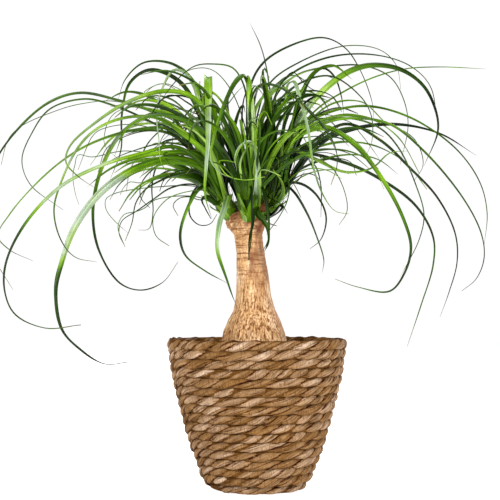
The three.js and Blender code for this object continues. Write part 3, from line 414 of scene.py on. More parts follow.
    ("right", 2.6, None, 52, (0.3, 0.2, 0.15, 0.12, 0.15, 0.2), [(24, 302, -12), (36, 296, -26),
     (50, 274, -38), (60, 250, -46), (67, 226, -52), (65, 214, -54)]),
    ("right", 2.4, -30, -54, 0.12, [(26, 303), (38, 304), (48, 316)]),
    ("left", 6.2, -50, 56, (0.3, 0.45, 0.6, 0.65), [(-56, 350), (-66, 363), (-77, 371), (-92, 375),
     (-112, 379), (-130, 383), (-147, 380)]),
    ("left", 6.6, -60, 40, (0.35, 0.5, 0.6, 0.5), [(-50, 332), (-62, 344), (-75, 354), (-90, 364),
     (-105, 370), (-124, 369)]),
    ("left", 5.4, 20, -72, (0.3, 0.2, 0.15, 0.3), [(-55, 328), (-70, 341), (-82, 351), (-97, 356),
     (-115, 357), (-135, 351)]),
    ("left", 4.6, 10, -72, (0.6, 0.72, 0.78, 0.7), [(-51, 366), (-60, 390), (-66, 408), (-73, 418),
     (-82, 423)]),
    ("left", 5.0, -70, 36, (0.7, 0.8, 0.85, 0.75), [(-48, 340), (-58, 352), (-68, 359), (-78, 362)]),
    ("front", 4.4, 40, 20, (0.5, 0.6, 0.75, 0.85, 0.8), [(-4, 350), (-2, 376), (3, 386), (11, 395),
     (24, 402), (35, 409), (51, 416), (66, 420)]),
    ("front", 6.6, None, 14, (0.35, 0.42, 0.58, 0.84, 0.87, 0.7, 0.44, 0.4, 0.4, 0.4), [(-4, 300, -36),
     (-1, 330, -46), (-2, 360, -52), (-5, 385, -52), (-8, 402, -50), (-10, 412, -47)]),
    ("back", 4.2, 40, -84, (0.15, 0.12, 0.1, 0.1), [(-22, 340), (-28, 368), (-29, 388), (-24, 402),
     (-18, 408)]),
    ("left", 4.4, -40, 56, (0.35, 0.45, 0.5, 0.35), [(-46, 312), (-66, 322), (-86, 324), (-104, 319),
     (-118, 309)]),
]

# Wisps and crossing leaves that the frame's solids leave out, traced the same way
TRACED_WISPS = [
    ("right", 5.2, -30, -24, 0.12, [(24, 340), (27, 360), (29, 373), (34, 384), (42, 383), (47, 373),
     (50, 360)]),
    ("left", 1.1, 130, 40, 0.3, [(-60, 350), (-137, 385), (-177, 383), (-207, 374), (-237, 360),
     (-249, 347), (-256, 322)]),
    ("left", 1.2, -30, 40, 0.3, [(-45, 292), (-57, 287), (-67, 290), (-77, 289), (-83, 284), (-84, 281),
     (-79, 271)]),
    ("left", 1.1, 20, 50, 0.4, [(-60, 300), (-100, 300), (-132, 296), (-143, 293), (-151, 288),
     (-151, 278), (-145, 269), (-137, 261), (-129, 254)]),
    ("left", 1.0, -55, 50, 0.4, [(-60, 306), (-92, 309), (-117, 304), (-127, 305), (-133, 300),
     (-137, 292)]),
    ("left", 1.1, -20, 45, 0.3, [(-60, 335), (-120, 362), (-157, 357), (-165, 350), (-170, 340),
     (-174, 330), (-179, 317)]),
    ("left", 1.1, 90, 45, 0.35, [(-60, 320), (-130, 336), (-165, 330), (-179, 332), (-182, 322),
     (-184, 312), (-182, 295), (-178, 282)]),
    ("left", 1.0, 70, 45, 0.4, [(-60, 345), (-100, 372), (-125, 380), (-142, 374), (-149, 365),
     (-152, 355), (-153, 345), (-150, 337)]),
    ("left", 1.0, -75, 45, 0.4, [(-60, 318), (-95, 330), (-118, 325), (-132, 324), (-146, 334)]),
    ("left", 1.2, 30, 45, 0.5, [(-50, 345), (-90, 385), (-113, 394), (-107, 399), (-97, 403), (-90, 402),
     (-82, 398)]),
    ("left", 1.1, -45, 45, 0.35, [(-60, 290), (-102, 287), (-112, 279), (-122, 275), (-132, 273),
     (-137, 267), (-139, 259), (-132, 240)]),
    ("right", 1.2, 40, 50, 0.3, [(20, 345), (60, 368), (93, 365), (103, 354), (111, 344), (123, 327)]),
    ("right", 1.3, -25, 50, 0.15, [(16, 296), (28, 299), (35, 306), (36, 315), (31, 318), (22, 313),
     (14, 305)]),
    ("right", 1.0, -45, 50, 0.15, [(10, 290), (16, 287), (24, 283), (31, 273)]),
    ("right", 1.6, -60, 60, 0.3, [(14, 306), (20, 318), (28, 313), (32, 300), (30, 286), (22, 270),
     (9, 252)]),
    ("front", 3.4, -74, 16, (0.6, 0.7, 0.85, 0.9, 0.8), [(-4, 292), (-3, 312), (-1, 327), (2, 334),
     (-2, 342), (-8, 346), (-17, 341), (-22, 330), (-20, 316)]),
    ("front", 7.4, -64, 12, (0.6, 0.78, 0.82, 0.87, 0.95, 0.82, 0.7), [(-3, 275), (0, 292), (1, 312),
     (0, 327), (-2, 340), (-3, 352)]),
    ("front", 1.5, -62, 60, 0.7, [(-14, 320), (-38, 326), (-30, 312), (-12, 307), (8, 310)]),
    ("front", 3.6, -56, 40, (0.5, 0.6, 0.8, 0.7), [(-2, 310), (5, 317), (15, 315), (24, 311)]),
    ("right", 1.6, -40, 60, 0.2, [(18, 300), (23, 312), (28, 300), (30, 290)]),
    ("left", 1.1, -65, 45, 0.4, [(-50, 296), (-84, 291), (-96, 282), (-104, 268), (-101, 251),
     (-88, 241)]),
    ("back", 1.4, 60, 45, 0.3, [(-10, 350), (-28, 400), (-47, 418), (-70, 416), (-88, 398)]),
    ("right", 1.3, -40, 45, 0.4, [(24, 315), (50, 330), (72, 322), (86, 300), (90, 276), (82, 262)]),
    ("left", 2.6, -25, 60, 0.15, [(-62, 378), (-72, 386), (-80, 391), (-87, 392), (-94, 389), (-99, 381),
     (-101, 372)]),
    ("left", 3.4, -20, 60, 0.12, [(-60, 342), (-80, 355), (-92, 361), (-107, 365), (-120, 369)]),
    ("left", 1.1, 30, 50, 0.3, [(-66, 388), (-76, 397), (-82, 400), (-89, 403), (-97, 403), (-105, 400),
     (-112, 393)]),
    ("right", 1.5, -10, 55, 0.2, [(28, 390), (38, 400), (46, 406), (53, 409), (61, 411), (70, 411),
     (78, 408)]),
    ("right", 2.2, -50, 60, 0.12, [(16, 385), (28, 408), (36, 415), (46, 405), (55, 398), (60, 396)]),
    ("right", 2.8, -35, 60, 0.14, [(12, 372), (28, 389), (40, 394), (53, 396), (66, 395), (76, 390),
     (84, 379)]),
    ("right", 3.4, -85, 60, 0.6, [(36, 346), (52, 361), (70, 369), (88, 371), (108, 369), (124, 364)]),
    ("right", 3.6, -60, -55, 0.2, [(30, 370), (40, 386), (46, 383), (52, 375), (60, 367), (68, 357),
     (74, 347), (79, 335)]),
    ("right", 2.2, -20, 60, 0.14, [(36, 332), (50, 342), (63, 351), (75, 358), (88, 363)]),
    ("back", 3.6, 10, 60, 0.12, [(8, 345), (16, 360), (15, 373), (18, 383), (26, 391), (35, 397)]),
    ("back", 3.4, 20, 60, 0.14, [(-14, 345), (-15, 367), (-14, 383), (-11, 394), (-5, 401), (3, 402)]),
    ("front", 2.4, -30, 60, 0.5, [(-30, 350), (-36, 366), (-33, 377), (-26, 387), (-19, 396), (-12, 402)]),
    ("back", 2.2, 30, 55, 0.12, [(-8, 350), (-4, 366), (2, 372), (10, 374), (18, 370), (24, 362)]),
    ("front", 1.6, -20, 50, 0.85, [(8, 340), (13, 362), (14, 378), (15, 392), (13, 400)]),
    ("left", 3.6, 20, 62, 0.14, [(-42, 340), (-50, 362), (-55, 382), (-57, 397), (-57, 406)]),
    ("left", 3.0, 10, 60, 0.2, [(-46, 308), (-68, 316), (-88, 316), (-102, 308), (-112, 296),
     (-118, 282)]),
    ("front", 5.6, -50, 10, (0.45, 0.35, 0.3, 0.2, 0.15, 0.15), [(-2, 281), (1, 272), (6, 266), (10, 259),
     (11.5, 251), (11, 243), (7, 235)]),
    ("front", 5.4, -50, 6, (0.4, 0.2, 0.05, 0.02, 0.02), [(-3, 282), (-3.5, 272), (-5, 260), (-7.5, 249),
     (-8, 238), (-8, 227)]),
    ("right", 4.4, -34, 62, 0.02, [(13, 271), (19, 276), (24, 282), (26, 280), (22, 275), (16, 271),
     (9, 267)]),
    ("right", 2.2, -28, 60, 0.02, [(9, 266), (14, 263), (20, 261)]),
    ("right", 5.6, -40, 64, (0.5, 0.75, 0.85, 0.8, 0.6), [(16, 282), (25, 289), (27, 299), (24, 307),
     (17, 316), (12, 324)]),
    ("front", 3.0, -66, 20, (0.5, 0.7, 0.8, 0.7), [(-12, 300), (-17, 322), (-12, 336), (-4, 345),
     (6, 350)]),
    ("left", 4.4, -36, 60, (0.4, 0.3, 0.15, 0.1), [(-40, 283), (-50, 290), (-55, 287), (-52, 279),
     (-46, 268)]),
]

# Leaves by a rule that come straight at the camera: share of their width, and tones
SLIM_LEAVES = {
    84: (0.4, (0.3, 0.35, 0.45, 0.4)), 127: (0.4, (0.2, 0.25, 0.35, 0.3)),
    130: (0.45, (0.3, 0.5, 0.6, 0.5)), 78: (0.7, (0.4, 0.55, 0.7, 0.6)),
}
# Width and closer line of two traced leaves, by their place in the frame's order
CLOSER_LEAVES = {
    15: (5.6, [(-28, 293, -16), (-33, 277, -30), (-37, 266, -36), (-39, 255, -40), (-40, 241, -42),
               (-38.5, 231, -44), (-34, 218, -46), (-30, 207, -48), (-26, 195, -50), (-21, 182, -50)]),
    57: (8.6, [(-4, 300, -36), (-2, 328, -46), (-4, 347, -51), (-5, 362, -53), (-6, 376, -54),
               (-7, 392, -54), (-8.4, 406, -51), (-9.2, 411, -46), (-9, 404, -40), (-7, 380, -34),
               (-5, 356, -30)]),
}

# Leaves that follow a rule, in the frame's order
SEED = 20
DRAW_FACTOR = 1664525
DRAW_STEP = 1013904223
DRAW_RANGE = 2 ** 32
ARCH_POINTS = 6
DRAWS_PER_LEAF = 80
# Fans: shoot, leaves, facing, spread, rise, length and bend
SHOOT_FANS = [
    ("left", 14, 178, 230, (56, 88), (115, 182), 2.2),
    ("front", 16, -90, 290, (68, 90), (105, 172), 2.2),
    ("right", 14, 2, 230, (56, 88), (115, 182), 2.2),
    ("back", 15, 90, 290, (62, 90), (120, 190), 2.2),
    ("back", 13, 90, 150, (45, 78), (190, 320), 1.4),
    ("front", 6, -90, 160, (50, 72), (130, 210), 1.4),
    ("left", 5, 180, 130, (20, 50), (80, 130), 1.2),
]
FAN_WIDTH = (4.5, 8.5)
FAN_DROOP = (25, 80)
FAN_CURL = 45
FAN_LEAN = 75
FAN_SCATTER = 14
FAN_LOWEST = 256

# Fine leaves by the same rule, for the scene alone, with a width for each fan
FINE_SEED = 77
FINE_CURL = 150
FINE_FANS = [
    ("left", 5, 180, 150, (30, 80), (60, 120), 1.5, (1.6, 3.0)),
    ("front", 14, -90, 250, (35, 88), (50, 130), 1.5, (1.4, 3.6)),
    ("right", 4, 0, 150, (40, 80), (60, 110), 1.5, (1.6, 3.0)),
    ("back", 22, 90, 250, (40, 88), (90, 200), 1.7, (1.2, 3.8)),
]
# Tones of the leaves that have none of their own
LEAF_SEED = 8
TONE_LEAST = 0.12
TONE_RANGE = 0.6
TONE_CHANCE = (0.9, 1.6)
TONE_SPREAD = 0.16

# Leaf bases that overlap round the foot of each shoot
SHEATHS = 22
SHEATH_WIDTH = (6, 11)
SHEATH_LENGTH = (16, 46)
SHEATH_FLARE = (1.5, 9)
SHEATH_LEAN = 0.35
SHEATH_SECTION = np.array([-1, -0.62, -0.25, 0, 0.25, 0.62, 1])
SHEATH_THICKNESS = 0.35
SHEATH_ROWS = 15
SHEATH_TONE = (0.35, 0.95)
SHEATH_START = -3.5
SHEATH_CLIMB = 7


# Meshes

class Surface:
    """Grids of points gathered into one mesh, with a UV map and two numbers on each point."""

    def __init__(self):
        self.points = []
        self.faces = []
        self.uvs = []
        self.tones = []
        self.shades = []
        self.count = 0

    def grid(self, points, u, v, closed=False, tone=0.5, shade=1.0):
        """Rows of points joined by four-cornered faces; u runs across the columns and v along rows."""
        rows, columns = points.shape[:2]
        spans = columns if closed else columns - 1
        i, j = np.meshgrid(np.arange(rows - 1), np.arange(spans), indexing="ij")
        following = (j + 1) % columns
        corners = np.stack([i * columns + j, i * columns + following,
                            (i + 1) * columns + following, (i + 1) * columns + j], -1)
        self.faces.append(corners.reshape(-1, 4) + self.count)
        across = np.asarray(u, float)
        along = np.asarray(v, float)
        uv = np.stack([np.stack([across[j], along[i]], -1), np.stack([across[j + 1], along[i]], -1),
                       np.stack([across[j + 1], along[i + 1]], -1),
                       np.stack([across[j], along[i + 1]], -1)], 2)
        self.uvs.append(uv.reshape(-1, 2))
        self.points.append(points.reshape(-1, 3))
        self.tones.append(np.broadcast_to(tone, (rows, columns)).reshape(-1))
        self.shades.append(np.broadcast_to(shade, (rows, columns)).reshape(-1))
        self.count += rows * columns

    def piece(self, name, material, smooth=True):
        """The gathered grids as one object, in metres."""
        points = np.concatenate(self.points) * MM
        faces = np.concatenate(self.faces)
        mesh = bpy.data.meshes.new(name)
        mesh.vertices.add(len(points))
        mesh.vertices.foreach_set("co", points.astype(np.float32).ravel())
        mesh.loops.add(faces.size)
        mesh.loops.foreach_set("vertex_index", faces.astype(np.int32).ravel())
        mesh.polygons.add(len(faces))
        mesh.polygons.foreach_set("loop_start", np.arange(0, faces.size, 4, dtype=np.int32))
        mesh.update(calc_edges=True)
        mesh.polygons.foreach_set("use_smooth", np.full(len(faces), smooth))
        layer = mesh.uv_layers.new(name="UVMap")
        layer.data.foreach_set("uv", np.concatenate(self.uvs).astype(np.float32).ravel())
        add_number(mesh, "tone", np.concatenate(self.tones))
        add_number(mesh, "shade", np.concatenate(self.shades))
        mesh.validate()
        return shown(name, mesh, material)


def add_number(mesh, name, values):
    attribute = mesh.attributes.new(name, "FLOAT", "POINT")
    attribute.data.foreach_set("value", np.asarray(values, np.float32))


def shown(name, mesh, material):
    piece = bpy.data.objects.new(name, mesh)
    piece.shadow_terminator_geometry_offset = 0.2
    bpy.context.scene.collection.objects.link(piece)
    mesh.materials.append(material)
    return piece


def placed(piece, slot, *nodes):
    """Rides on the one body and stands for the frame's nodes; the slot is not used."""
    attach(piece, "root")
    if nodes:
        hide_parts(*nodes)
    return piece


def build(name, material, slot, node, fill, *given, smooth=True):
    """Makes and places a piece from what a function puts on an empty surface."""
    surface = Surface()
    fill(surface, *given)
    placed(surface.piece(name, material, smooth), slot, node)


def unit(vectors):
    vectors = np.asarray(vectors, float)
    length = np.linalg.norm(vectors, axis=-1, keepdims=True)
    return vectors / np.maximum(length, 1e-12)


def smooth_step(value):
    value = np.clip(value, 0, 1)
    return value * value * (3 - 2 * value)


def wander(values, seed, octaves=2):
    """Smooth chance numbers of about -1 to 1 along a row of values."""
    found = np.zeros(len(values))
    for octave in range(octaves):
        scale = 2 ** octave
        found += np.array([noise.noise((value * scale, seed + 17.3 * octave, 0.37 * seed))
                           for value in values]) / scale
    return found


def length_along(points):
    """Length of the line through the points, as reached at each of them."""
    steps = np.linalg.norm(np.diff(points, axis=0), axis=1)
    return np.concatenate([[0], np.cumsum(steps)])


def ball(rows, columns):
    """Points of a ball of radius 1, row by row from its top."""
    polar = np.linspace(0.001, np.pi - 0.001, rows)[:, None]
    angle = -np.linspace(0, 2 * np.pi, columns, endpoint=False)[None, :]
    return np.stack([np.sin(polar) * np.cos(angle), np.sin(polar) * np.sin(angle),
                     np.cos(polar) + 0 * angle], -1)


def turned(surface, profile, sides, wobble=None):
    """A shape turned round Z from points of radius and height."""
    angle = np.linspace(0, 2 * np.pi, sides, endpoint=False)
    rings = []
    for radius, height in profile:
        reach = radius if wobble is None else radius + wobble(angle, height)
        rings.append(np.stack([reach * np.cos(angle), reach * np.sin(angle),
                               np.full(sides, float(height))], -1))
    surface.grid(np.array(rings), np.arange(sides + 1) / sides,
                 length_along(np.array(profile, float)) / 100, closed=True)


# Materials

class Finish:
    """A Principled material, with short ways to add and join its nodes."""

    def __init__(self, name):
        self.material = bpy.data.materials.new(name)
        self.material.use_nodes = True
        self.nodes = self.material.node_tree.nodes
        self.links = self.material.node_tree.links
        self.shader = self.nodes["Principled BSDF"]

    def feed(self, socket, value):
        """Joins an output to a socket, or sets the socket to a number or a colour."""
        if hasattr(value, "is_output"):
            self.links.new(value, socket)
        elif isinstance(value, (int, float)):
            socket.default_value = value
        else:
            socket.default_value = (*value, 1)

    def number(self, name):
        """One of the two numbers on the mesh's points."""
        made = self.nodes.new("ShaderNodeAttribute")
        made.attribute_name = name
        return made.outputs["Fac"]

    def noise(self, kind, stretch, scale, detail, rough, distortion=0.0):
        """Noise in Object or UV coordinates, stretched by a scale for each axis."""
        coordinates = self.nodes.new("ShaderNodeTexCoord")
        mapping = self.nodes.new("ShaderNodeMapping")
        mapping.inputs["Scale"].default_value = stretch
        self.links.new(coordinates.outputs[kind], mapping.inputs["Vector"])
        made = self.nodes.new("ShaderNodeTexNoise")
        self.links.new(mapping.outputs["Vector"], made.inputs["Vector"])
        for name, value in (("Scale", scale), ("Detail", detail), ("Roughness", rough),
                            ("Distortion", distortion)):
            made.inputs[name].default_value = value
        return made.outputs["Fac"]

    def ramp(self, source, *stops):
        """Colours along a source; each stop is a place with three parts or one grey."""
        made = self.nodes.new("ShaderNodeValToRGB")
        elements = made.color_ramp.elements
        while len(elements) < len(stops):
            elements.new(0.5)
        for element, (place, *colour) in zip(elements, stops):
            element.position = place
            element.color = (*(colour if len(colour) == 3 else colour * 3), 1)
        self.links.new(source, made.inputs["Fac"])
        return made.outputs["Color"]

    def mix(self, factor, first, second, blend="MIX"):
        made = self.nodes.new("ShaderNodeMix")
        made.data_type = "RGBA"
        made.blend_type = blend
        for name, value in (("Factor_Float", factor), ("A_Color", first), ("B_Color", second)):
            self.feed(next(s for s in made.inputs if s.identifier == name), value)
        return next(s for s in made.outputs if s.identifier == "Result_Color")

    def times(self, factor, first, second):
        return self.mix(factor, first, second, "MULTIPLY")

    def sums(self, operation, *values):
        made = self.nodes.new("ShaderNodeMath")
        made.operation = operation
        for socket, value in zip(made.inputs, values):
            self.feed(socket, value)
        return made.outputs[0]

    def finished(self, colour, rough, height, strength, distance, shine=None):
        """Wires colour, roughness, shine and bump, and gives the material."""
        self.feed(self.shader.inputs["Base Color"], colour)
        self.feed(self.shader.inputs["Roughness"], rough)
        if shine is not None:
            self.feed(self.shader.inputs["Specular IOR Level"], shine)
        bump = self.nodes.new("ShaderNodeBump")
        bump.inputs["Strength"].default_value = strength
        bump.inputs["Distance"].default_value = distance
        self.links.new(height, bump.inputs["Height"])
        self.links.new(bump.outputs["Normal"], self.shader.inputs["Normal"])
        return self.material


def rope_material():
    rope = Finish("seagrass_rope")
    fibres = rope.noise("UV", (14, 0.4, 1), 1.0, 4.0, 0.62, 0.3)
    wrinkles = rope.noise("UV", (4.6, 9, 1), 1.0, 3.0, 0.6, 0.5)
    blotch = rope.noise("Object", (1, 1, 1), 110.0, 3.0, 0.6)
    base = rope.ramp(rope.number("tone"), (0.0, 0.125, 0.06, 0.016), (0.25, 0.165, 0.086, 0.029),
                     (0.45, 0.2, 0.113, 0.048), (0.65, 0.235, 0.147, 0.081),
                     (0.85, 0.295, 0.2, 0.13), (1.0, 0.4, 0.3, 0.22))
    streaks = rope.ramp(fibres, (0.36, 0.24, 0.15, 0.07), (0.42, 0.72, 0.65, 0.55),
                        (0.49, 1.02, 1.0, 0.97), (0.6, 1.2), (0.68, 1.6, 1.65, 1.75))
    creases = rope.ramp(wrinkles, (0.38, 0.48, 0.36, 0.24), (0.44, 0.94, 0.91, 0.88), (0.68, 1.14))
    patches = rope.ramp(blotch, (0.3, 0.7, 0.62, 0.5), (0.52, 1.0), (0.74, 1.25, 1.25, 1.27))
    # Painted shade from the shade numbers, in the creases between strands and rows
    painted_shade = rope.ramp(rope.number("shade"), (0.0, 0.06, 0.012, 0.0), (0.36, 0.34, 0.14, 0.02),
                     (0.62, 0.95, 0.9, 0.82), (1.0, 1.06))
    colour = rope.times(1.0, base, streaks)
    colour = rope.times(0.85, colour, creases)
    colour = rope.times(0.85, colour, patches)
    colour = rope.times(1.0, colour, painted_shade)
    height = rope.sums("ADD", fibres, rope.sums("MULTIPLY", wrinkles, 0.3))
    return rope.finished(colour, 0.65, height, 1.0, 0.0016, 0.05)


def gap_shade_material():
    gap_shade_finish = Finish("rope_gap_shade")
    grain = gap_shade_finish.noise("Object", (1, 1, 4), 220.0, 4.0, 0.6)
    # Painted shade: a dark brown for the gaps between the rows, with a grain
    colour = gap_shade_finish.ramp(grain, (0.35, 0.04, 0.014, 0.002), (0.7, 0.15, 0.065, 0.015))
    return gap_shade_finish.finished(colour, 0.9, grain, 0.8, 0.001, 0.03)


def bark_material():
    """Upright streaks on the swollen foot and level rings on the neck, where tone is high."""
    bark = Finish("caudex_bark")
    tone = bark.number("tone")
    upright = bark.noise("Object", (1, 1, 0.13), 640.0, 2.0, 0.5, 0.5)
    level = bark.noise("Object", (0.12, 0.12, 1), 480.0, 3.0, 0.6, 0.5)
    spots = bark.noise("Object", (1, 1, 0.6), 640.0, 3.0, 0.6)
    patches = bark.noise("Object", (1, 1, 0.4), 75.0, 3.0, 0.6)
    base = bark.ramp(patches, (0.3, 0.4, 0.215, 0.09), (0.45, 0.48, 0.285, 0.135),
                     (0.58, 0.56, 0.365, 0.2), (0.72, 0.68, 0.5, 0.34))
    flecks = bark.ramp(spots, (0.36, 0.4, 0.24, 0.13), (0.43, 0.86, 0.78, 0.68), (0.54, 1.04),
                       (0.66, 1.35))
    lines = bark.ramp(upright, (0.38, 0.34, 0.2, 0.1), (0.46, 0.86, 0.78, 0.68),
                      (0.52, 1.05, 1.04, 1.02), (0.64, 1.3, 1.33, 1.36))
    rings = bark.ramp(level, (0.38, 0.36, 0.2, 0.1), (0.47, 0.93, 0.89, 0.83), (0.64, 1.2, 1.2, 1.18))
    colour = bark.times(0.7, base, flecks)
    striped = bark.times(1.0, colour, lines)
    ringed = bark.times(0.85, bark.times(0.15, colour, lines), rings)
    # The shade numbers mix in a dark red-brown: painted shade in the cracks, the hollows and on the right
    # side, and a darker top
    colour = bark.mix(bark.number("shade"), (0.15, 0.05, 0.018), bark.mix(tone, striped, ringed))
    height = bark.sums("ADD", bark.sums("MULTIPLY", upright, 1.2),
                       bark.sums("ADD", spots, bark.sums("MULTIPLY", level, tone)))
    return bark.finished(colour, 0.62, height, 0.9, 0.0009, 0.14)


def leaf_material():
    """Its first coordinate runs from 0 to 1 across the upper face and from 1 to 2 across the lower."""
    leaf = Finish("strap_leaf")
    tone = leaf.number("tone")
    coordinates = leaf.nodes.new("ShaderNodeTexCoord")
    split = leaf.nodes.new("ShaderNodeSeparateXYZ")
    leaf.links.new(coordinates.outputs["UV"], split.inputs["Vector"])
    across, along = split.outputs["X"], split.outputs["Y"]
    veins = leaf.noise("UV", (24, 0.5, 1), 1.0, 2.0, 0.5)
    bands = leaf.noise("UV", (3.4, 1.6, 1), 1.0, 1.0, 0.5)
    cloud = leaf.noise("Object", (1, 1, 1), 26.0, 3.0, 0.55)
    # Tones run from dark to lime green; the pale silver-green at the top is painted sheen
    base = leaf.ramp(tone, (0.0, 0.003, 0.01, 0.0), (0.2, 0.01, 0.032, 0.0003),
                     (0.4, 0.036, 0.098, 0.001), (0.55, 0.078, 0.187, 0.0022),
                     (0.7, 0.133, 0.264, 0.01), (0.82, 0.18, 0.308, 0.052),
                     (0.92, 0.205, 0.3, 0.15), (1.0, 0.27, 0.35, 0.255))
    clouds = leaf.ramp(cloud, (0.28, 0.42, 0.5, 0.4), (0.5, 1.0), (0.72, 1.6, 1.45, 1.5))
    stripes = leaf.ramp(bands, (0.34, 0.45, 0.52, 0.4), (0.5, 1.0), (0.66, 1.55, 1.42, 1.6))
    lines = leaf.ramp(veins, (0.35, 0.74, 0.78, 0.7), (0.52, 1.0), (0.68, 1.2, 1.15, 1.1))
    colour = leaf.times(0.9, base, clouds)
    colour = leaf.times(0.85, colour, stripes)
    colour = leaf.times(0.85, colour, lines)
    # Pale edges and midrib on the upper face, a light green foot and a dry tip
    rim = leaf.ramp(across, (0.0, 0.6), (0.07, 0.0), (0.46, 0.0), (0.5, 0.35), (0.54, 0.0),
                    (0.93, 0.0), (1.0, 0.6))
    above = leaf.sums("LESS_THAN", across, 1.0)
    pale = leaf.times(1.0, colour, (2.2, 1.9, 2.0))
    colour = leaf.mix(leaf.sums("MULTIPLY", rim, above), colour, pale)
    root = leaf.ramp(along, (0.0, 1.0), (0.08, 0.6), (0.17, 0.0))
    colour = leaf.mix(root, colour, leaf.mix(0.6, colour, (0.13, 0.26, 0.006)))
    tip = leaf.sums("MULTIPLY", leaf.ramp(along, (0.93, 0.0), (1.0, 1.0)),
                    leaf.ramp(tone, (0.15, 0.0), (0.3, 0.9), (0.55, 0.1)))
    colour = leaf.mix(tip, colour, (0.2, 0.12, 0.045))
    # A paler lower face, and painted shade between the leaves and at the feet of the sheaths
    below = leaf.sums("GREATER_THAN", across, 1.0)
    bloom = leaf.sums("MULTIPLY", below, leaf.ramp(tone, (0.3, 0.0), (0.6, 0.3)))
    colour = leaf.mix(bloom, colour, leaf.times(1.0, colour, (1.8, 1.6, 1.8)))
    painted_shade = leaf.ramp(leaf.number("shade"), (0.0, 0.04, 0.07, 0.0), (0.48, 0.31, 0.4, 0.15),
                     (0.7, 0.56, 0.61, 0.5), (1.0, 1.0))
    rough = leaf.ramp(bands, (0.3, 0.24), (0.7, 0.4))
    return leaf.finished(leaf.times(1.0, colour, painted_shade), rough, bands, 0.35, 0.0006, 0.1)


def soil_material():
    soil = Finish("potting_mix")
    grain = soil.noise("Object", (1, 1, 1), 520.0, 6.0, 0.7)
    base = soil.ramp(soil.number("tone"), (0.0, 0.016, 0.009, 0.005), (0.5, 0.045, 0.024, 0.013),
                     (0.85, 0.12, 0.065, 0.034), (0.97, 0.5, 0.47, 0.42))
    specks = soil.ramp(grain, (0.35, 0.45, 0.42, 0.4), (0.6, 1.0), (0.75, 1.7, 1.6, 1.5))
    return soil.finished(soil.times(1.0, base, specks), 0.95, grain, 1.0, 0.0015, 0.2)


def plastic_material(name, colour, rough, wear):
    plastic = Finish(name)
    grain = plastic.noise("Object", (1, 1, 1), 900.0, 3.0, 0.6)
    smear = plastic.noise("Object", (1, 1, 0.4), 34.0, 4.0, 0.6)
    wear_and_highlight = [min(1.0, part * wear + 0.02) for part in colour]
    base = plastic.ramp(smear, (0.4, *colour), (0.72, *wear_and_highlight))
    return plastic.finished(base, plastic.ramp(smear, (0.3, rough), (0.7, rough + 0.2)), grain,
                            0.25, 0.0004)


def cut_material():
    cut = Finish("old_cut_wood")
    grain = cut.noise("Object", (1, 1, 0.3), 420.0, 4.0, 0.65)
    colour = cut.ramp(grain, (0.35, 0.012, 0.009, 0.008), (0.6, 0.05, 0.032, 0.022),
                      (0.78, 0.14, 0.095, 0.06))
    return cut.finished(colour, 0.85, grain, 1.0, 0.0014)


ROPE = rope_material()
GAP_SHADE = gap_shade_material()
BARK = bark_material()
LEAF = leaf_material()
SOIL = soil_material()
POT = plastic_material("nursery_pot_plastic", (0.022, 0.018, 0.015), 0.42, 2.2)
FILM = plastic_material("liner_film", (0.035, 0.035, 0.032), 0.28, 1.8)
CUT = cut_material()


# Basket of twisted rope

def basket_radius(height):
    levels, radii = zip(*BASKET_OUTLINE)
    return np.interp(height, levels, radii)


def basket_inside(height):
    """Radius of the wall's inner face."""
    corner = basket_radius(BASKET_INNER_CORNER) - BASKET_WALL
    rim = basket_radius(BASKET_HEIGHT) - BASKET_WALL
    rim_foot = BASKET_HEIGHT - ROPE_ROW / 2
    return np.interp(height, [BASKET_FLOOR, BASKET_INNER_CORNER, rim_foot],
                     [BASKET_FLOOR_RADIUS, corner, rim])


def level_ways(angle):
    """Level directions at angles round Z."""
    return np.stack([np.cos(angle), np.sin(angle), np.zeros_like(angle)], -1)


def coil_path():
    """The wall's rope: level turns that climb to the next row over a short stretch at the left."""
    turn, height = [], []
    for row in range(ROPE_ROWS):
        count = int(2 * np.pi * basket_radius((row + 0.5) * ROPE_ROW) / ROPE_STEP)
        part = np.arange(count) / count
        climb = smooth_step((part - 1 + CLIMB_SHARE) / CLIMB_SHARE)
        if row == ROPE_ROWS - 1:
            climb = climb * -RIM_END_DROP
        turn.append(row + part)
        height.append((row + 0.5 + climb) * ROPE_ROW)
    turn = np.concatenate(turn)
    height = np.concatenate(height)
    # The rows sag together and waver a little by themselves; the rope thins at its two ends
    angle = np.radians(CLIMB_START) + 2 * np.pi * turn
    shared = wander(np.cos(angle) * 1.4 + 5, 3.1, 1) * ROPE_SAG
    height = height + shared * smooth_step(height / 40) + wander(turn * 9, 8.2) * ROPE_WAVER_UP
    radius = (basket_radius(np.clip(height, 0, BASKET_HEIGHT)) - ROPE_DEPTH
              + wander(turn * 11, 5.7) * ROPE_WAVER_OUT)
    size = np.minimum(smooth_step((turn + 0.01) / 0.05),
                      0.45 + 0.55 * smooth_step((ROPE_ROWS - turn) / 0.035))
    out = level_ways(angle)
    centre = out * radius[:, None]
    centre[:, 2] = height
    up = np.zeros_like(out)
    up[:, 2] = 1
    return centre, out, up, size


def floor_path():
    """The floor's rope: a flat spiral from the middle to the foot of the wall."""
    part = np.linspace(0, 1, FLOOR_POINTS) ** 0.62
    angle = 2 * np.pi * FLOOR_TURNS * part + 0.6
    up = level_ways(angle)
    centre = up * (FLOOR_START + (FLOOR_END - FLOOR_START) * part)[:, None]
    centre[:, 2] = FLOOR_LEVEL
    out = np.zeros_like(up)
    out[:, 2] = -1
    return centre, out, -up, np.full_like(angle, FLOOR_SIZE)


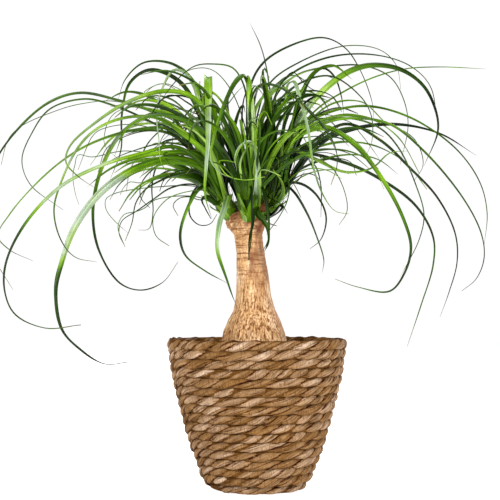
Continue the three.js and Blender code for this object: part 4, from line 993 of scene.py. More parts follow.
def strands(surface, path, seed):
    """Two strands of flat stalks twisted round a path, each bulge and stalk with its own tone."""
    centre, out, up, size = path
    chance = np.random.default_rng(seed)
    reach = length_along(centre)
    # The twist is tight in places and slack in others
    pitch = ROPE_PITCH * np.exp(PITCH_SPREAD * wander(reach / TWIST_LONG, seed + 0.4))
    turned_by = np.concatenate([[0], np.cumsum(2 * np.pi * np.diff(reach) / pitch[1:])])
    turned_by = turned_by + TWIST_SHORT_TURN * wander(reach / TWIST_SHORT, seed + 2.2, 1)
    sides = STALKS * STALK_POINTS
    column = np.arange(sides)
    stalk_at = column // STALK_POINTS
    alpha = np.pi - 2 * np.pi * column / sides
    crest = np.sin(np.pi * (column % STALK_POINTS) / STALK_POINTS)
    lay = (STRAND_LAY * size)[:, None]
    for strand in range(2):
        psi = turned_by + np.pi * strand
        bulge = np.floor((psi + np.pi) / (2 * np.pi)).astype(int)
        within = (psi + np.pi) / (2 * np.pi) - bulge
        bulges = bulge.max() + 2
        bulge_tone = chance.uniform(*BULGE_TONES, bulges)
        bulge_tone += PALE_LIFT * (chance.uniform(0, 1, bulges) < PALE_SHARE)
        bulge_size = chance.uniform(*BULGE_SIZES, bulges)
        stalk_tone, stalk_size = (
            np.stack([wander(reach / wave, seed + step * stalk + strand, octaves)
                      for stalk in range(STALKS)], 1)
            for wave, step, octaves in STALK_WAVES)
        swell = bulge_size[bulge] * (BULGE_LEAST + BULGE_SWELL * np.sin(np.pi * within))
        radius = STRAND_RADIUS * size * swell * (1 + 0.1 * wander(reach / 9, seed + strand * 5, 2))
        radius = radius[:, None]
        # The stalks' section, laid round the strand as the strand is laid round the rope
        lobes = (0.93 + 0.1 * crest) * (1 + STALK_SWELL * stalk_size[:, stalk_at])
        psi = psi[:, None]
        turn = psi + alpha - STALK_COUNTER_TWIST * psi
        outward = lay * np.cos(psi) + radius * lobes * np.cos(turn)
        upward = lay * np.sin(psi) + radius * lobes * np.sin(turn)
        points = (centre[:, None, :] + out[:, None, :] * (outward * ROPE_FLATTEN)[..., None]
                  + up[:, None, :] * upward[..., None])
        points[..., 2] = np.clip(points[..., 2], 0.05, None)
        # Painted shade where the other strand or the next row lies close, and in the grooves between the
        # stalks
        other = np.hypot(outward + lay * np.cos(psi), upward + lay * np.sin(psi)) - radius
        between = smooth_step((other - 0.05) / 0.7)
        beside = smooth_step((np.abs(upward) - ROPE_ROW / 2 + 1.1) / 1.0)
        sunk = 1 - smooth_step((outward - 0.9) / 2.0)
        shade = between * (1 - 0.75 * beside * sunk) * (0.78 + 0.22 * crest)
        # Painted highlight: paler where a bulge stands out furthest
        wear_and_highlight = smooth_step((outward - 0.5 * (radius + lay)) / 2.4)
        tone = (TONE_OF_BULGE * bulge_tone[bulge][:, None] + TONE_BASE
                + TONE_OF_STALK * stalk_tone[:, stalk_at] + TONE_OF_CREST_HIGHLIGHT * wear_and_highlight)
        surface.grid(points, np.arange(sides + 1) / sides + 3 * strand, reach / 10,
                     closed=True, tone=np.clip(tone, 0, 1), shade=shade)


def rope_gap_shade(surface):
    """A dark filling behind the strands, so that no light shows between the rows; its dark brown is
    painted shade.
    """
    ring = -np.linspace(0, 2 * np.pi, 8, endpoint=False)
    angle = np.linspace(0, 2 * np.pi, CORE_SIDES + 1)
    for row in range(ROPE_ROWS):
        level = (row + 0.5) * ROPE_ROW
        away = basket_radius(level) - CORE_DEPTH + CORE_HALF_WIDTH * np.cos(ring)
        points = level_ways(angle)[:, None] * away[None, :, None]
        points[..., 2] = np.maximum(level + CORE_HALF_HEIGHT * np.sin(ring), 0.3)
        surface.grid(points, np.arange(9) / 8, np.arange(CORE_SIDES + 1) / 10, closed=True)


def sliver(surface, start, heading, lift, length, width, tone, bow):
    """A loose flat fibre that leaves the rope along its heading and curls away a little."""
    part = np.linspace(0, 1, 7)[:, None]
    side = unit(np.cross(heading, lift))
    line = (start + heading * length * part + lift * (bow * part ** 1.6)
            + side * (0.25 * bow * np.sin(3 * part)))
    half = width / 2 * (1 - 0.85 * part)
    points = np.stack([line + side * half, line + lift * 0.16, line - side * half], 1)
    points[..., 2] = np.maximum(points[..., 2], 0.3)
    surface.grid(points, np.arange(4) / 3 * 0.1, part[:, 0] * length / 10, closed=True, tone=tone)


def wall_ways(angle):
    """Directions out of the wall and round it."""
    return (np.array([math.cos(angle), math.sin(angle), 0.0]),
            np.array([-math.sin(angle), math.cos(angle), 0.0]))


def loose_fibres(surface):
    chance = np.random.default_rng(FIBRE_SEED)
    for _ in range(FIBRE_COUNT):
        middle = (chance.integers(0, ROPE_ROWS) + 0.5) * ROPE_ROW
        level = middle + chance.uniform(-FIBRE_OFF_ROW, FIBRE_OFF_ROW)
        out, round_way = wall_ways(chance.uniform(0, 2 * np.pi))
        rise = chance.uniform(*FIBRE_RISE)
        way = 1 if chance.uniform() < 0.75 else -1
        heading = unit(round_way * way + np.array([0, 0, rise * way]))
        over = abs(level - middle) / ROW_ROUNDING
        start = out * (basket_radius(level) - 1.1 - 1.6 * over ** 2) + np.array([0, 0, level])
        length = chance.uniform(*FIBRE_LENGTH)
        tone = chance.uniform(*FIBRE_TONE)
        width = chance.uniform(*FIBRE_WIDTH)
        sliver(surface, start, heading, out, length, width, tone, chance.uniform(*FIBRE_BOW))
    # The frayed end of the rope at the left of the rim
    out, round_way = wall_ways(math.radians(CLIMB_START - 3))
    for _ in range(FRAYED_COUNT):
        level = FRAYED_LEVEL + chance.uniform(-3, 4)
        start = out * (basket_radius(level) - chance.uniform(1.5, 6)) + np.array([0, 0, level])
        heading = unit(round_way + np.array([0, 0, chance.uniform(*FRAYED_RISE)]))
        length, width, tone, bow = (chance.uniform(*bounds) for bounds in
                                    (FRAYED_LENGTH, FRAYED_WIDTH, FRAYED_TONE, FRAYED_BOW))
        sliver(surface, start, heading, out, length, width, tone, bow)


def make_basket():
    wall = coil_path()
    half = len(wall[0]) // 2
    low = [values[:half + 1] for values in wall]
    high = [values[half:] for values in wall]
    for name, path, seed in (("low", low, 21), ("high", high, 22), ("floor", floor_path(), 34)):
        build(f"basket_rope_{name}", ROPE, "fibre_rope", "basket", strands, path, seed)
    build("basket_rope_gap_shade", GAP_SHADE, "fibre_rope", "basket", rope_gap_shade)
    build("basket_loose_fibres", ROPE, "fibre_rope", "basket", loose_fibres, smooth=False)


# Liner, pot and soil

def crinkle(angle, height):
    """Small folds of the film, which fade towards the floor."""
    fold = np.array([noise.noise((math.cos(a) * 9, math.sin(a) * 9, height / 30)) for a in angle])
    return -0.35 + 0.3 * fold * min(1.0, (height - BASKET_FLOOR) / 60)


def liner(surface):
    bottom = BASKET_FLOOR + SEAT_GAP
    levels = np.linspace(BASKET_INNER_CORNER, LINER_TOP, LINER_ROWS)
    outside = [(0.5, bottom), (BASKET_FLOOR_RADIUS - 1, bottom)]
    outside += [(basket_inside(level) - 2 * SEAT_GAP, level) for level in levels]
    inside = [(radius - LINER_THICKNESS * 0.7, level) for radius, level in outside[:1:-1]]
    inside += [(BASKET_FLOOR_RADIUS - 2, bottom + LINER_THICKNESS), (0.5, bottom + LINER_THICKNESS)]
    turned(surface, outside + inside, LINER_SIDES, crinkle)


def pot_radius(height):
    part = (height - POT_FOOT) / (POT_TOP - POT_FOOT)
    return POT_BASE_RADIUS + (POT_TOP_RADIUS - POT_BASE_RADIUS) * part


def nursery_pot(surface):
    lip_foot = POT_TOP - POT_LIP_HEIGHT
    lip = pot_radius(lip_foot) + POT_LIP
    top = POT_TOP_RADIUS + POT_LIP
    inside = POT_TOP_RADIUS - POT_WALL
    profile = [(0.5, POT_FOOT), (POT_BASE_RADIUS - 1.2, POT_FOOT),
               (POT_BASE_RADIUS - 0.2, POT_FOOT + 0.6), (pot_radius(POT_FOOT + 3), POT_FOOT + 3)]
    profile += [(pot_radius(level), level) for level in np.linspace(POT_FOOT + 8, lip_foot, 12)]
    profile += [(lip - 0.5, lip_foot + 0.1), (lip, lip_foot + 0.7), (top, POT_TOP - 0.8),
                (top - 0.4, POT_TOP - 0.15), (top - 1.2, POT_TOP), (inside + 0.3, POT_TOP),
                (inside, POT_TOP - 0.5), (pot_radius(lip_foot) - POT_WALL, lip_foot),
                (POT_BASE_RADIUS - POT_WALL, POT_FOOT + POT_WALL), (0.5, POT_FOOT + POT_WALL)]
    turned(surface, profile, POT_SIDES)


def crumb(surface, place, sizes, turn, tone, chance):
    """A small uneven lump of the potting mix."""
    rows, columns = 5, 7
    lump = ball(rows, columns) * chance.uniform(0.72, 1.15, (rows, columns, 1)) * np.array(sizes)
    cos, sin = math.cos(turn), math.sin(turn)
    spun = np.stack([lump[..., 0] * cos - lump[..., 1] * sin, lump[..., 0] * sin + lump[..., 1] * cos,
                     lump[..., 2]], -1)
    surface.grid(spun + place, np.arange(columns + 1) / columns, np.arange(rows) / rows,
                 closed=True, tone=tone)


def soil_height(x, y):
    away = math.hypot(x, y) / SOIL_REACH
    rough = noise.noise((x / 9, y / 9, 4.4)) * 1.3 + noise.noise((x / 3.5, y / 3.5, 1.2)) * 0.9
    return SOIL_TOP + SOIL_DOME * (1 - away ** 3) - 0.9 + rough


def soil_bed(surface, edge):
    """The soil's uneven top, with the hole for the trunk's foot, down to a flat underside."""
    middle = np.array([SOIL_HOLE_SHIFT, 0.0])
    rows = []
    for angle in np.linspace(0, 2 * np.pi, SOIL_SPOKES + 1):
        way = np.array([math.cos(angle), math.sin(angle)])
        inner = middle + way * SOIL_HOLE
        outer = way * edge
        row = [(*inner, SOIL_HOLE_FOOT)]
        for part in np.linspace(0, 1, SOIL_RINGS):
            x, y = inner + (outer - inner) * part
            row.append((x, y, soil_height(x, y)))
        low = way * (pot_radius(SOIL_UNDERSIDE) - POT_WALL - 1)
        row += [(*low, SOIL_UNDERSIDE), (*(middle + way * SOIL_HOLE_BELOW), SOIL_UNDERSIDE)]
        rows.append(row)
    points = np.array(rows)[:, ::-1]
    columns = points.shape[1]
    surface.grid(points, np.arange(columns + 1) / columns, np.linspace(0, 8, SOIL_SPOKES + 1),
                 closed=True, tone=0.35)


def soil(surface):
    edge = pot_radius(SOIL_TOP) - POT_WALL - 2 * SEAT_GAP
    soil_bed(surface, edge)
    chance = np.random.default_rng(SOIL_SEED)
    for _ in range(CRUMB_COUNT):
        angle = chance.uniform(0, 2 * np.pi)
        away = math.sqrt(chance.uniform(CRUMB_START ** 2, (edge - 2.2) ** 2))
        x, y = away * math.cos(angle), away * math.sin(angle)
        kind = chance.uniform()
        size = chance.uniform(*CRUMB_SIZE)
        # White grains, long bits of bark, or plain crumbs
        if kind < WHITE_BELOW:
            tone, sizes = 0.98, (size * 0.8, size * 0.7, size * 0.6)
        elif kind < BITS_BELOW:
            tone, sizes = chance.uniform(0.7, 0.9), (size * 2.0, size * 0.8, size * 0.45)
        else:
            tone, sizes = chance.uniform(0.1, 0.65), (size * 1.1, size, size * 0.7)
        crumb(surface, (x, y, soil_height(x, y) + 0.15), sizes, chance.uniform(0, 6.3), tone, chance)


# Trunk

def trunk_at(height):
    """Sideways place of the trunk's middle and its radius at a height."""
    levels, middles, radii = zip(*TRUNK_RINGS)
    return np.interp(height, levels, middles), np.interp(height, levels, radii)


def trunk_column():
    """The fluted column, closed at its foot and top."""
    heights = np.linspace(TRUNK_RINGS[0][0], TRUNK_RINGS[-1][0], TRUNK_ROWS)
    middle, radius = trunk_at(heights)
    angle = np.linspace(0, 2 * np.pi, TRUNK_SIDES, endpoint=False)
    flute = 1 + TRUNK_FLUTE_DEPTH * np.cos(TRUNK_FLUTES * angle[None, :]
                                           + heights[:, None] / TRUNK_FLUTE_CLIMB)
    reach = radius[:, None] * flute
    column = np.stack([middle[:, None] + reach * np.cos(angle), reach * np.sin(angle),
                       heights[:, None] + 0 * reach], -1)
    foot, top = (np.repeat(end.mean(axis=1, keepdims=True), TRUNK_SIDES, axis=1)
                 for end in (column[:1], column[-1:]))
    return np.concatenate([foot, column, top])


def trunk_skin():
    """One even skin round the column and its lumps."""
    surface = Surface()
    column = trunk_column()
    surface.grid(column, np.arange(TRUNK_SIDES + 1), np.arange(len(column)), closed=True)
    for *place, size in TRUNK_LUMPS:
        surface.grid(ball(14, 18) * size + place, np.arange(19), np.arange(14), closed=True)
    rough = surface.piece("caudex_trunk", BARK)
    remesh = rough.modifiers.new("remesh", "REMESH")
    remesh.mode = "VOXEL"
    remesh.voxel_size = SKIN_VOXEL
    rough.modifiers.new("smooth", "SMOOTH").iterations = SKIN_SMOOTHING
    skin = bpy.data.meshes.new_from_object(rough.evaluated_get(bpy.context.evaluated_depsgraph_get()))
    bpy.data.objects.remove(rough)
    return skin


def bark_at(x, y, z):
    """How far the bark stands out at a point, the share of rings in its look, and its painted shade."""
    angle = math.atan2(y, x + 6)
    round_x, round_y = math.cos(angle), math.sin(angle)

    def pattern(fine, tall, shift=0):
        return noise.noise((round_x * fine, round_y * fine, z / tall + shift))

    low = float(smooth_step((CRACKS_END - z) / CRACKS_FADE))
    high = float(smooth_step((z - RINGS_START) / RINGS_FADE))
    head = float(smooth_step((z - HEAD_START) / HEAD_FADE))
    top = float(smooth_step((z - TOP_START) / TOP_FADE))
    split = (max(0.0, 1 - abs(pattern(*CRACKS)) / CRACK_WIDTH)
             + FINE_CRACK_SHARE * max(0.0, 1 - abs(pattern(*FINE_CRACKS)) / FINE_CRACK_WIDTH))
    rings = RING_RISE * pattern(*RINGS) + WIDE_RING_RISE * pattern(*WIDE_RINGS)
    knobby = (noise.noise((x / KNOBS, y / KNOBS, z / KNOBS))
              + 0.5 * noise.noise((x / FINE_KNOBS, y / FINE_KNOBS, z / FINE_KNOBS)))
    rise = (-CRACK_DEPTH * split * low + high * (1 - head) * rings + head * knobby
            + KNOBBY_FOOT * knobby * low)
    # The swollen foot is darker brown at its right, and the neck everywhere but at its left: partly the
    # bark's own tone and partly painted shade on that side
    patchy = pattern(*PATCHES)
    brown_and_shade = (0.35 + 0.65 * high) * float(smooth_step((x + 11 - 20 * low + 11 * patchy) / 13))
    brown_and_shade *= 0.66 + 0.5 * patchy
    # Painted shade in the cracks and in the hollows between the knobs, a darker top, and the darker side
    shade = (1 - CRACK_DARK * min(1.0, split) * low - max(0.0, brown_and_shade) - TOP_DARK * top
             - HOLLOW_DARK * head * float(smooth_step(0.35 - 1.2 * knobby)))
    return rise, high, shade


def make_trunk():
    skin = trunk_skin()
    count = len(skin.vertices)
    points = np.zeros(count * 3, np.float32)
    normals = np.zeros(count * 3, np.float32)
    skin.vertices.foreach_get("co", points)
    skin.vertices.foreach_get("normal", normals)
    points = points.reshape(-1, 3) / MM
    rise, ringed, shade = np.array([bark_at(*point) for point in points]).T
    points = points + normals.reshape(-1, 3) * rise[:, None]
    skin.vertices.foreach_set("co", (points * MM).astype(np.float32).ravel())
    skin.polygons.foreach_set("use_smooth", np.full(len(skin.polygons), True))
    for name in ("tone", "shade"):
        if name in skin.attributes:
            skin.attributes.remove(skin.attributes[name])
    add_number(skin, "tone", ringed)
    add_number(skin, "shade", np.clip(shade, 0, 1))
    skin.materials.clear()
    placed(shown("caudex_bark", skin, BARK), "bark", "trunk")


def cut_stump(surface):
    """The sawn stump of the old stem, hollow where its heart has dried."""
    chance = np.random.default_rng(CUT_SEED)
    along = unit(STUMP_TOP - STUMP_FOOT)
    side = unit(np.cross(along, [0, 1, 0]))
    other = np.cross(along, side)
    round_way = np.linspace(0, 2 * np.pi, CUT_SIDES, endpoint=False)
    rows = []
    for size, up in CUT_PROFILE:
        wobble = 1 + chance.uniform(-0.06, 0.06, CUT_SIDES)
        rows.append(STUMP_FOOT + along * up + (side * np.cos(round_way)[:, None]
                    + other * np.sin(round_way)[:, None]) * (size * wobble)[:, None])
    surface.grid(np.array(rows), np.arange(CUT_SIDES + 1) / CUT_SIDES, np.arange(len(rows)) / 5,
                 closed=True)


# The leaves' lines, by the frame's own rule

def axis_of(head):
    return unit(HEADS[head][1])


def from_view(x, z, depth):
    """The point at a depth on the camera's line of sight through a place at y = 0."""
    reach = (depth - EYE[1]) / -EYE[1]
    return (np.array([x, 0.0, z]) - EYE) * reach + EYE


def root_point(head, order, side):
    """Where a leaf starts on its shoot: the roots climb it in a spiral."""
    up = ROOT_LOW + (ROOT_HIGH - ROOT_LOW) * ((order * GOLDEN_PART) % 1)
    turn = 2 * math.pi * GOLDEN_PART * order
    out = unit(np.array([math.cos(turn), math.sin(turn), 0.0]) * ROOT_SPIRAL + side)
    return np.array(HEADS[head][0], float) + axis_of(head) * up + out * ROOT_OUT


def flat_direction(start, end):
    return unit(np.array([end[0] - start[0], end[1] - start[1], 0.0]))


def traced_route(head, tip_depth, given, order, shift):
    """Points of a traced leaf, bent by a shift in depth that grows towards its tip."""
    base = np.array(HEADS[head][0], float)
    lengths = [0.0]
    for at, point in enumerate(given):
        before = (base[0], base[2]) if at == 0 else given[at - 1]
        lengths.append(lengths[at] + math.hypot(point[0] - before[0], point[1] - before[1]))
    bent = []
    for at, point in enumerate(given):
        part = lengths[at + 1] / lengths[-1]
        depth = point[2] if len(point) == 3 else base[1] + (tip_depth - base[1]) * part ** DEPTH_EASE
        bent.append(from_view(point[0], point[1], depth + shift * min(1, BEND_GROWTH * part)))
    side = flat_direction(base, bent[-1])
    return [root_point(head, order, side), *bent]


def arched_route(head, order, turn, rise, droop, curl, length, bend):
    """Points of a leaf that rises from its shoot, arches over and hangs down."""
    side = np.array([math.cos(turn), math.sin(turn), 0.0])
    root = root_point(head, order, side)
    place = root + axis_of(head) * EMERGE_UP + side * EMERGE_OUT
    route = [root, place]
    for step in range(1, ARCH_POINTS + 1):
        part = (step - 0.5) / ARCH_POINTS
        climb = rise - (rise + droop) * part ** bend
        heading = turn + curl * part * part
        place = place + np.array([math.cos(climb) * math.cos(heading),
                                  math.cos(climb) * math.sin(heading),
                                  math.sin(climb)]) * (length / ARCH_POINTS)
        route.append(place)
    return route


def smooth_line(route):
    """A centripetal Catmull-Rom line through the route, and the length reached at its points."""
    route = np.array(route, float)
    ahead = np.concatenate([[2 * route[0] - route[1]], route, [2 * route[-1] - route[-2]]])
    points = []
    weight = (np.arange(LINE_SAMPLES) / LINE_SAMPLES)[:, None]
    for at in range(len(route) - 1):
        p0, p1, p2, p3 = ahead[at:at + 4]
        t0, t1, t2 = (max(float(((b - a) ** 2).sum()) ** 0.25, 1e-4)
                      for a, b in ((p0, p1), (p1, p2), (p2, p3)))
        start = ((p1 - p0) / t0 - (p2 - p0) / (t0 + t1) + (p2 - p1) / t1) * t1
        end = ((p2 - p1) / t1 - (p3 - p1) / (t1 + t2) + (p3 - p2) / t2) * t1
        points.append(p1 + start * weight + (-3 * p1 + 3 * p2 - 2 * start - end) * weight ** 2
                      + (2 * p1 - 2 * p2 + start + end) * weight ** 3)
    points = np.concatenate([*points, route[-1:]])
    return points, length_along(points)


def points_at(line, reach):
    points, reached = line
    return np.stack([np.interp(reach, reached, points[:, axis]) for axis in range(3)], -1)


def leaf_width(width, reach, length, share=LEAF_ROOT_SHARE):
    opened = np.minimum(1, share + (1 - share) * reach / LEAF_ROOT_LENGTH)
    return LEAF_TIP_WIDTH + (width - LEAF_TIP_WIDTH) * opened * (1 - (reach / length) ** LEAF_TAPER)


class Leaf:
    """One leaf's line, with the places along it that have to stay clear."""

    def __init__(self, head, order, width, lean, route, tone=None):
        self.head, self.order, self.width, self.lean = head, order, width, lean
        self.tone = tone
        self.side = flat_direction(route[0], route[1])
        self.line = smooth_line(route)
        self.length = self.line[1][-1]
        count = math.ceil(self.length / LEAF_PROBE_STEP)
        reach = self.length * np.arange(count + 1) / count
        self.places = points_at(self.line, reach)
        self.halves = leaf_width(width, reach, self.length) / 2


def near_line(places, start, end):
    """Distance of places from the straight line between two points."""
    way = end - start
    part = np.clip(((places - start) @ way) / (way @ way), 0, 1)
    return np.linalg.norm(places - (start + part[:, None] * way), axis=1)


def is_clear(leaf, leaves):
    """Whether a leaf passes the trunk, the stump, the knobs and the other shoots' leaves."""
    places = leaf.places[LEAF_SUNK_PROBES:]
    halves = leaf.halves[LEAF_SUNK_PROBES:]
    middle, radius = trunk_at(places[:, 2])
    reach = radius * (1 + TRUNK_FLUTE_DEPTH) + halves + LEAF_CLEARANCE
    below = places[:, 2] <= TRUNK_RINGS[-1][0]
    if (below & (np.hypot(places[:, 0] - middle, places[:, 1]) < reach)).any():
        return False
    if (near_line(places, STUMP_FOOT, STUMP_TOP) < STUMP_RADIUS + halves + LEAF_CLEARANCE).any():
        return False
    for head, (base, _) in HEADS.items():
        base = np.array(base, float)
        knob = base - (0, 0, KNOB_DROP)
        if (np.linalg.norm(places - knob, axis=1) < KNOB_RADIUS + halves + LEAF_CLEARANCE).any():
            return False
        if head != leaf.head:
            tip = base + axis_of(head) * SHOOT_TOP
            if (near_line(places, base, tip) < SHOOT_RADIUS + halves + LEAF_CLEARANCE).any():
                return False
    for other in leaves:
        if other.head == leaf.head:
            continue
        apart = np.linalg.norm(leaf.places[:, None] - other.places[None], axis=2)
        if (apart < leaf.halves[:, None] + other.halves[None] + LEAF_CLEARANCE).any():
            return False
    return True


def traced_leaf(given, order, leaves):
    """A traced leaf, bent towards or away from the camera until it is clear."""
    head, width, tip_depth, lean, tone, points = given
    for step in range(BEND_TRIES + 1):
        shift = (1 if step % 2 == 0 else -1) * math.ceil(step / 2) * BEND_STEP
        leaf = Leaf(head, order, width, lean, traced_route(head, tip_depth, points, order, shift))
        if is_clear(leaf, leaves):
            leaf.tone = tone
            return leaf
    raise RuntimeError(f"traced leaf {order} of the {head} shoot finds no clear way")


class Draws:
    """The frame's own seeded draws."""

    def __init__(self, seed):
        self.seed = seed

    def draw(self, bounds):
        self.seed = (self.seed * DRAW_FACTOR + DRAW_STEP) % DRAW_RANGE
        return bounds[0] + (bounds[1] - bounds[0]) * self.seed / DRAW_RANGE


def arched_leaf(draws, fan, widths, curls, order, at, leaves):
    """One leaf of a fan, drawn again until it is clear, or none."""
    head, _, facing, spread, rises, lengths, bend = fan
    for _ in range(DRAWS_PER_LEAF):
        share = (at * GOLDEN_PART) % 1
        turn = facing + spread * (share - 0.5) + draws.draw((-FAN_SCATTER, FAN_SCATTER))
        rise = draws.draw(rises)
        droop = draws.draw(FAN_DROOP)
        curl = draws.draw((-curls, curls))
        length = draws.draw(lengths)
        width = draws.draw(widths)
        lean = draws.draw((-FAN_LEAN, FAN_LEAN))
        route = arched_route(head, order, *map(math.radians, (turn, rise, droop, curl)), length, bend)
        leaf = Leaf(head, order, width, lean, route)
        if route[-1][2] > FAN_LOWEST and is_clear(leaf, leaves):
            return leaf
    return None


def frame_leaves():
    """The leaves that the frame's four heads have, in its order."""
    leaves = []
    counts = dict.fromkeys(HEADS, 0)
    for given in TRACED_LEAVES:
        leaves.append(traced_leaf(given, counts[given[0]], leaves))
        counts[given[0]] += 1
    draws = Draws(SEED)
    for fan in SHOOT_FANS:
        for at in range(fan[1]):
            leaf = arched_leaf(draws, fan, FAN_WIDTH, FAN_CURL, counts[fan[0]], at, leaves)
            if leaf is not None:
                leaves.append(leaf)
            counts[fan[0]] += 1
    return leaves


def fine_leaves(leaves):
    """Wisps and small leaves that the frame leaves out."""
    found = []
    for order, (head, width, tip_depth, lean, tone, points) in enumerate(TRACED_WISPS):
        found.append(Leaf(head, order, width, lean,
                          traced_route(head, tip_depth, points, order, 0), tone))
    draws = Draws(FINE_SEED)
    for fan in FINE_FANS:
        for at in range(fan[1]):
            leaf = arched_leaf(draws, fan[:7], fan[7], FINE_CURL, at, at, leaves)
            if leaf is not None:
                found.append(leaf)
    return found


# Blades

def blade_frame(leaf, part):
    """Middle line of a blade, the way to its edge and the way under it, twisted along it."""
    middle = points_at(leaf.line, leaf.length * part)
    along = unit(np.gradient(middle, axis=0))
    across = np.zeros_like(middle)
    current = np.array([-leaf.side[1], leaf.side[0], 0.0])
    for at in range(len(part)):
        current = unit(current - along[at] * (current @ along[at]))
        across[at] = current
    settled = np.minimum(1, TWIST_AT_ROOT + part)
    twist = np.radians((leaf.lean + TWIST_WAVE * np.sin(TWIST_WAVES * part + leaf.order)) * settled)
    edge = across * np.cos(twist)[:, None] + np.cross(along, across) * np.sin(twist)[:, None]
    return middle, edge, np.cross(edge, along)


def blade_tones(leaf, part, tones, half):
    """Tones along a blade, and at each point, with waves along it and painted light on one half of the
    fold and painted shade on the other.
    """
    reach = leaf.length * part
    knots = np.atleast_1d(tones)
    along = np.interp(part, np.linspace(0, 1, len(knots)), knots)
    waves = 0.05 * np.sin(reach / 19 + 2.7 * leaf.order) + 0.04 * np.sin(reach / 7.3 + leaf.order)
    # Painted light and shade on the two halves of the fold, swapping sides slowly along the blade
    fold_light_and_shade = 0.1 * np.cos(reach / 43 + 1.9 * leaf.order)
    half = half * smooth_step(leaf.width / 5)
    return along, np.clip((along + waves)[:, None] + fold_light_and_shade[:, None] * half, 0, 1)


def blade_shade(middle, reach, tone):
    """Painted light on a blade: painted shade deep in the crown, less near its root and on pale parts, and
    a little on its far pale part.
    """
    away = np.linalg.norm((middle - CROWN_MIDDLE) * CROWN_SCALE, axis=1)
    inner = smooth_step((DARK_END - away) / DARK_FADE)
    outer = smooth_step((away - FAR_START) / FAR_FADE)
    lit_root = 0.6 * np.exp(-(reach / 16) ** 2)
    deep = np.clip(DARK_DEPTH * inner * (1.15 - 0.75 * tone), 0, 0.95) * (1 - lit_root)
    return 1 - deep - FAR_DEPTH * outer * smooth_step((tone - 0.25) / 0.4)


def blade(surface, leaf, tones):
    """A strap leaf with a folded section, wider at its foot, that thins to a point."""
    part = np.linspace(0, 1, max(10, int(leaf.length / BLADE_STEP)))
    reach = leaf.length * part
    middle, edge, under = blade_frame(leaf, part)
    foot = np.exp(-(reach / BLADE_FOOT) ** 2) * smooth_step((leaf.width - 2) / 3)
    width = leaf_width(leaf.width, reach, leaf.length, BLADE_ROOT_SHARE)
    width = width * (1 + FOOT_WIDER * foot)
    width = width * (1 - NARROWER * smooth_step((part - 0.45) / 0.4))
    width = width * (TIP_SHARE + (1 - TIP_SHARE) * np.clip((1 - part) / TIP_PART, 0, 1) ** 0.7)
    keel = KEEL[0] + KEEL[1] * width + FOOT_KEEL * foot
    thick = THICKNESS[0] + THICKNESS[1] * leaf.width
    ripple = RIPPLE * leaf.width * np.sin(reach / 7 + leaf.order)
    top, bottom = WIDE_SECTION if leaf.width > FINE_WIDTH else FINE_SECTION
    columns = []
    for at, x in enumerate(top + bottom):
        depth = keel * (0.45 - abs(x) ** 1.3) + ripple * x * abs(x)
        if at >= len(top):
            depth = depth + thick * (1 - 0.45 * abs(x))
        columns.append(middle + edge * (width * x / 2)[:, None] + under * depth[:, None])
    u = np.concatenate([(1 - np.array(top)) / 2, 1.5 + np.array(bottom) / 2, [2.0]])
    tone, spread = blade_tones(leaf, part, tones, np.array(top + bottom))
    surface.grid(np.stack(columns, 1), u, part, closed=True, tone=spread,
                 shade=blade_shade(middle, reach, tone)[:, None])


def shoot_radius(height):
    sizes, heights = zip(*SHOOT_PROFILE)
    return np.interp(height, heights, sizes)


def shoot_frame(head):
    axis = axis_of(head)
    side = unit(np.cross(axis, [0.3, 0.7, 0.1]))
    return np.array(HEADS[head][0], float), axis, side, np.cross(axis, side)


def shoot_core(surface, head):
    """The swollen foot of a shoot, hidden by the leaf bases round it."""
    base, axis, side, other = shoot_frame(head)
    angle = np.linspace(0, 2 * np.pi, SHOOT_SIDES, endpoint=False)
    ends = (SHOOT_LEVELS[0], SHOOT_LEVELS[-1])
    rows = []
    for up in SHOOT_LEVELS:
        reach = 0.1 if up in ends else shoot_radius(up) * (0.78 - 0.2 * max(0, up - 18) / 12)
        rows.append(base + axis * up
                    + (side * np.cos(angle)[:, None] + other * np.sin(angle)[:, None]) * reach)
    # Painted shade, as the core lies under the leaf bases
    surface.grid(np.array(rows), np.arange(SHOOT_SIDES + 1) / SHOOT_SIDES,
                 np.linspace(0, 0.2, len(rows)), closed=True, tone=0.4, shade=0.3)


def sheath(surface, head, turn, layer, chance):
    """One leaf base that wraps part of the shoot and parts from it at its torn or pointed tip."""
    base, axis, side, other = shoot_frame(head)
    length = chance.uniform(*SHEATH_LENGTH)
    width = chance.uniform(*SHEATH_WIDTH)
    flare = chance.uniform(*SHEATH_FLARE)
    lean = chance.uniform(-SHEATH_LEAN, SHEATH_LEAN)
    part = np.linspace(0, 1, SHEATH_ROWS)
    height = SHEATH_START + SHEATH_CLIMB * layer + length * part
    loose = smooth_step((part - 0.35) / 0.65)
    radius = shoot_radius(np.minimum(height, 24)) * (0.86 + 0.1 * (1 - layer)) + flare * loose ** 1.5
    narrow = width * (1 - 0.9 * part ** 1.8)
    spread = SHEATH_SECTION * np.minimum(1.25, narrow / 2 / radius)[:, None]
    angle = turn + lean * part[:, None] + spread
    outer = radius[:, None] + 0.5 * (1 - SHEATH_SECTION ** 2) * (1 - part[:, None])
    ring = side * np.cos(angle)[..., None] + other * np.sin(angle)[..., None]
    front, back = (base + axis * height[:, None, None] + ring * face[..., None]
                   for face in (outer, outer - SHEATH_THICKNESS))
    points = np.concatenate([front, back[:, 5:0:-1]], 1)[:, ::-1]
    columns = points.shape[1]
    tone = np.clip(chance.uniform(*SHEATH_TONE) - 0.15 * part, 0, 1)
    # Painted shade at the foot of each sheath, and a darker tip on those that stay close to the shoot
    shade = 0.5 + 0.42 * smooth_step(part / 0.3) - 0.4 * smooth_step((part - 0.7) / 0.3) * (flare < 4)
    surface.grid(points, np.arange(columns + 1) / columns, 0.02 + 0.12 * part, closed=True,
                 tone=tone[:, None], shade=shade[:, None])


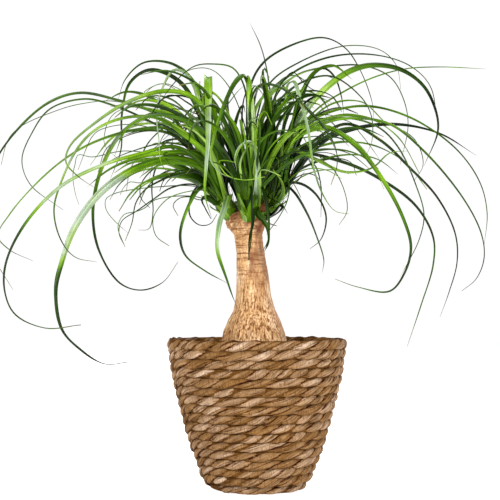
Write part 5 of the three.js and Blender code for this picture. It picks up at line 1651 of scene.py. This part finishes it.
def crown_leaves():
    """All leaves: the frame's own, two of them on closer lines, and the fine ones."""
    leaves = frame_leaves()
    fine = fine_leaves(leaves)
    for at, (width, points) in CLOSER_LEAVES.items():
        leaf = leaves[at]
        route = traced_route(leaf.head, None, points, leaf.order, 0)
        leaves[at] = Leaf(leaf.head, leaf.order, width, leaf.lean, route, leaf.tone)
    return leaves + fine


def head_leaves(surface, head, leaves, chance):
    """One shoot with its sheaths and leaves. Tones are drawn for the other shoots' leaves too."""
    shoot_core(surface, head)
    for at in range(SHEATHS):
        sheath(surface, head, 2 * np.pi * GOLDEN_PART * at, at / (SHEATHS - 1), chance)
    for at, leaf in enumerate(leaves):
        tone = leaf.tone
        if at in SLIM_LEAVES and leaf.head == head:
            share, tone = SLIM_LEAVES[at]
            leaf.width *= share
        if tone is None:
            tone = (TONE_LEAST + TONE_RANGE * chance.beta(*TONE_CHANCE)
                    + chance.uniform(-TONE_SPREAD, TONE_SPREAD, 3))
        if leaf.head == head:
            blade(surface, leaf, tone)


def make_leaves():
    chance = np.random.default_rng(LEAF_SEED)
    leaves = crown_leaves()
    for head in HEADS:
        build(f"leaves_{head}", LEAF, "leaf", f"head_{head}", head_leaves, head, leaves, chance)


# Floor, light and camera

def make_stage():
    """The pale floor, just under the basket."""
    surface = Surface()
    edge = np.linspace(-FLOOR_HALF, FLOOR_HALF, 9)
    x, y = np.meshgrid(edge, edge)
    surface.grid(np.stack([x, y, np.full_like(x, FLOOR_TOP)], -1), edge, edge)
    pale = Finish("pale_floor")
    grain = pale.noise("Object", (1, 1, 1), 3.0, 2.0, 0.5)
    pale.feed(pale.shader.inputs["Base Color"], pale.ramp(grain, (0.3, 0.86), (0.7, 0.9)))
    pale.feed(pale.shader.inputs["Roughness"], 0.7)
    pale.feed(pale.shader.inputs["Emission Color"], (1, 1, 1))
    pale.feed(pale.shader.inputs["Emission Strength"], FLOOR_GLOW)
    surface.piece("floor", pale.material)


def area_light(name, place, target, size, power):
    light = bpy.data.lights.new(name, "AREA")
    light.shape = "DISK"
    light.size = size
    light.energy = power
    lamp = bpy.data.objects.new(name, light)
    lamp.location = place
    lamp.rotation_euler = (Vector(target) - Vector(place)).to_track_quat("-Z", "Y").to_euler()
    bpy.context.scene.collection.objects.link(lamp)


def make_world():
    """A white backdrop that the camera sees brighter than it lights the plant."""
    world = bpy.data.worlds.new("studio")
    world.use_nodes = True
    nodes, links = world.node_tree.nodes, world.node_tree.links
    background = nodes["Background"]
    background.inputs["Color"].default_value = (1, 1, 1, 1)
    seen = nodes.new("ShaderNodeLightPath").outputs["Is Camera Ray"]
    strength = nodes.new("ShaderNodeMath")
    strength.operation = "MULTIPLY_ADD"
    links.new(seen, strength.inputs[0])
    strength.inputs[1].default_value = WORLD_SEEN - WORLD_LIGHT
    strength.inputs[2].default_value = WORLD_LIGHT
    links.new(strength.outputs[0], background.inputs["Strength"])
    bpy.context.scene.world = world


def make_camera():
    scene = bpy.context.scene
    camera = bpy.data.cameras.new("view")
    camera.lens = CAMERA_LENS
    camera.sensor_width = 36
    camera.shift_y = CAMERA_SHIFT
    camera.clip_start = 0.05
    camera.clip_end = 20
    eye = bpy.data.objects.new("view", camera)
    eye.location = Vector(EYE * MM)
    eye.rotation_euler = (math.radians(90), 0, 0)
    scene.collection.objects.link(eye)
    scene.camera = eye
    scene.view_settings.view_transform = "Standard"


make_stage()
make_world()
for lamp in LAMPS:
    area_light(*lamp)
make_camera()
make_basket()
build("liner_film", FILM, "liner_film", "liner", liner)
build("nursery_pot", POT, "pot_plastic", "grow_pot", nursery_pot)
build("potting_mix", SOIL, "potting_mix", "soil", soil, smooth=False)
make_trunk()
build("cut_stump", CUT, "bark", "trunk", cut_stump)
make_leaves()

bpy.context.view_layer.update()
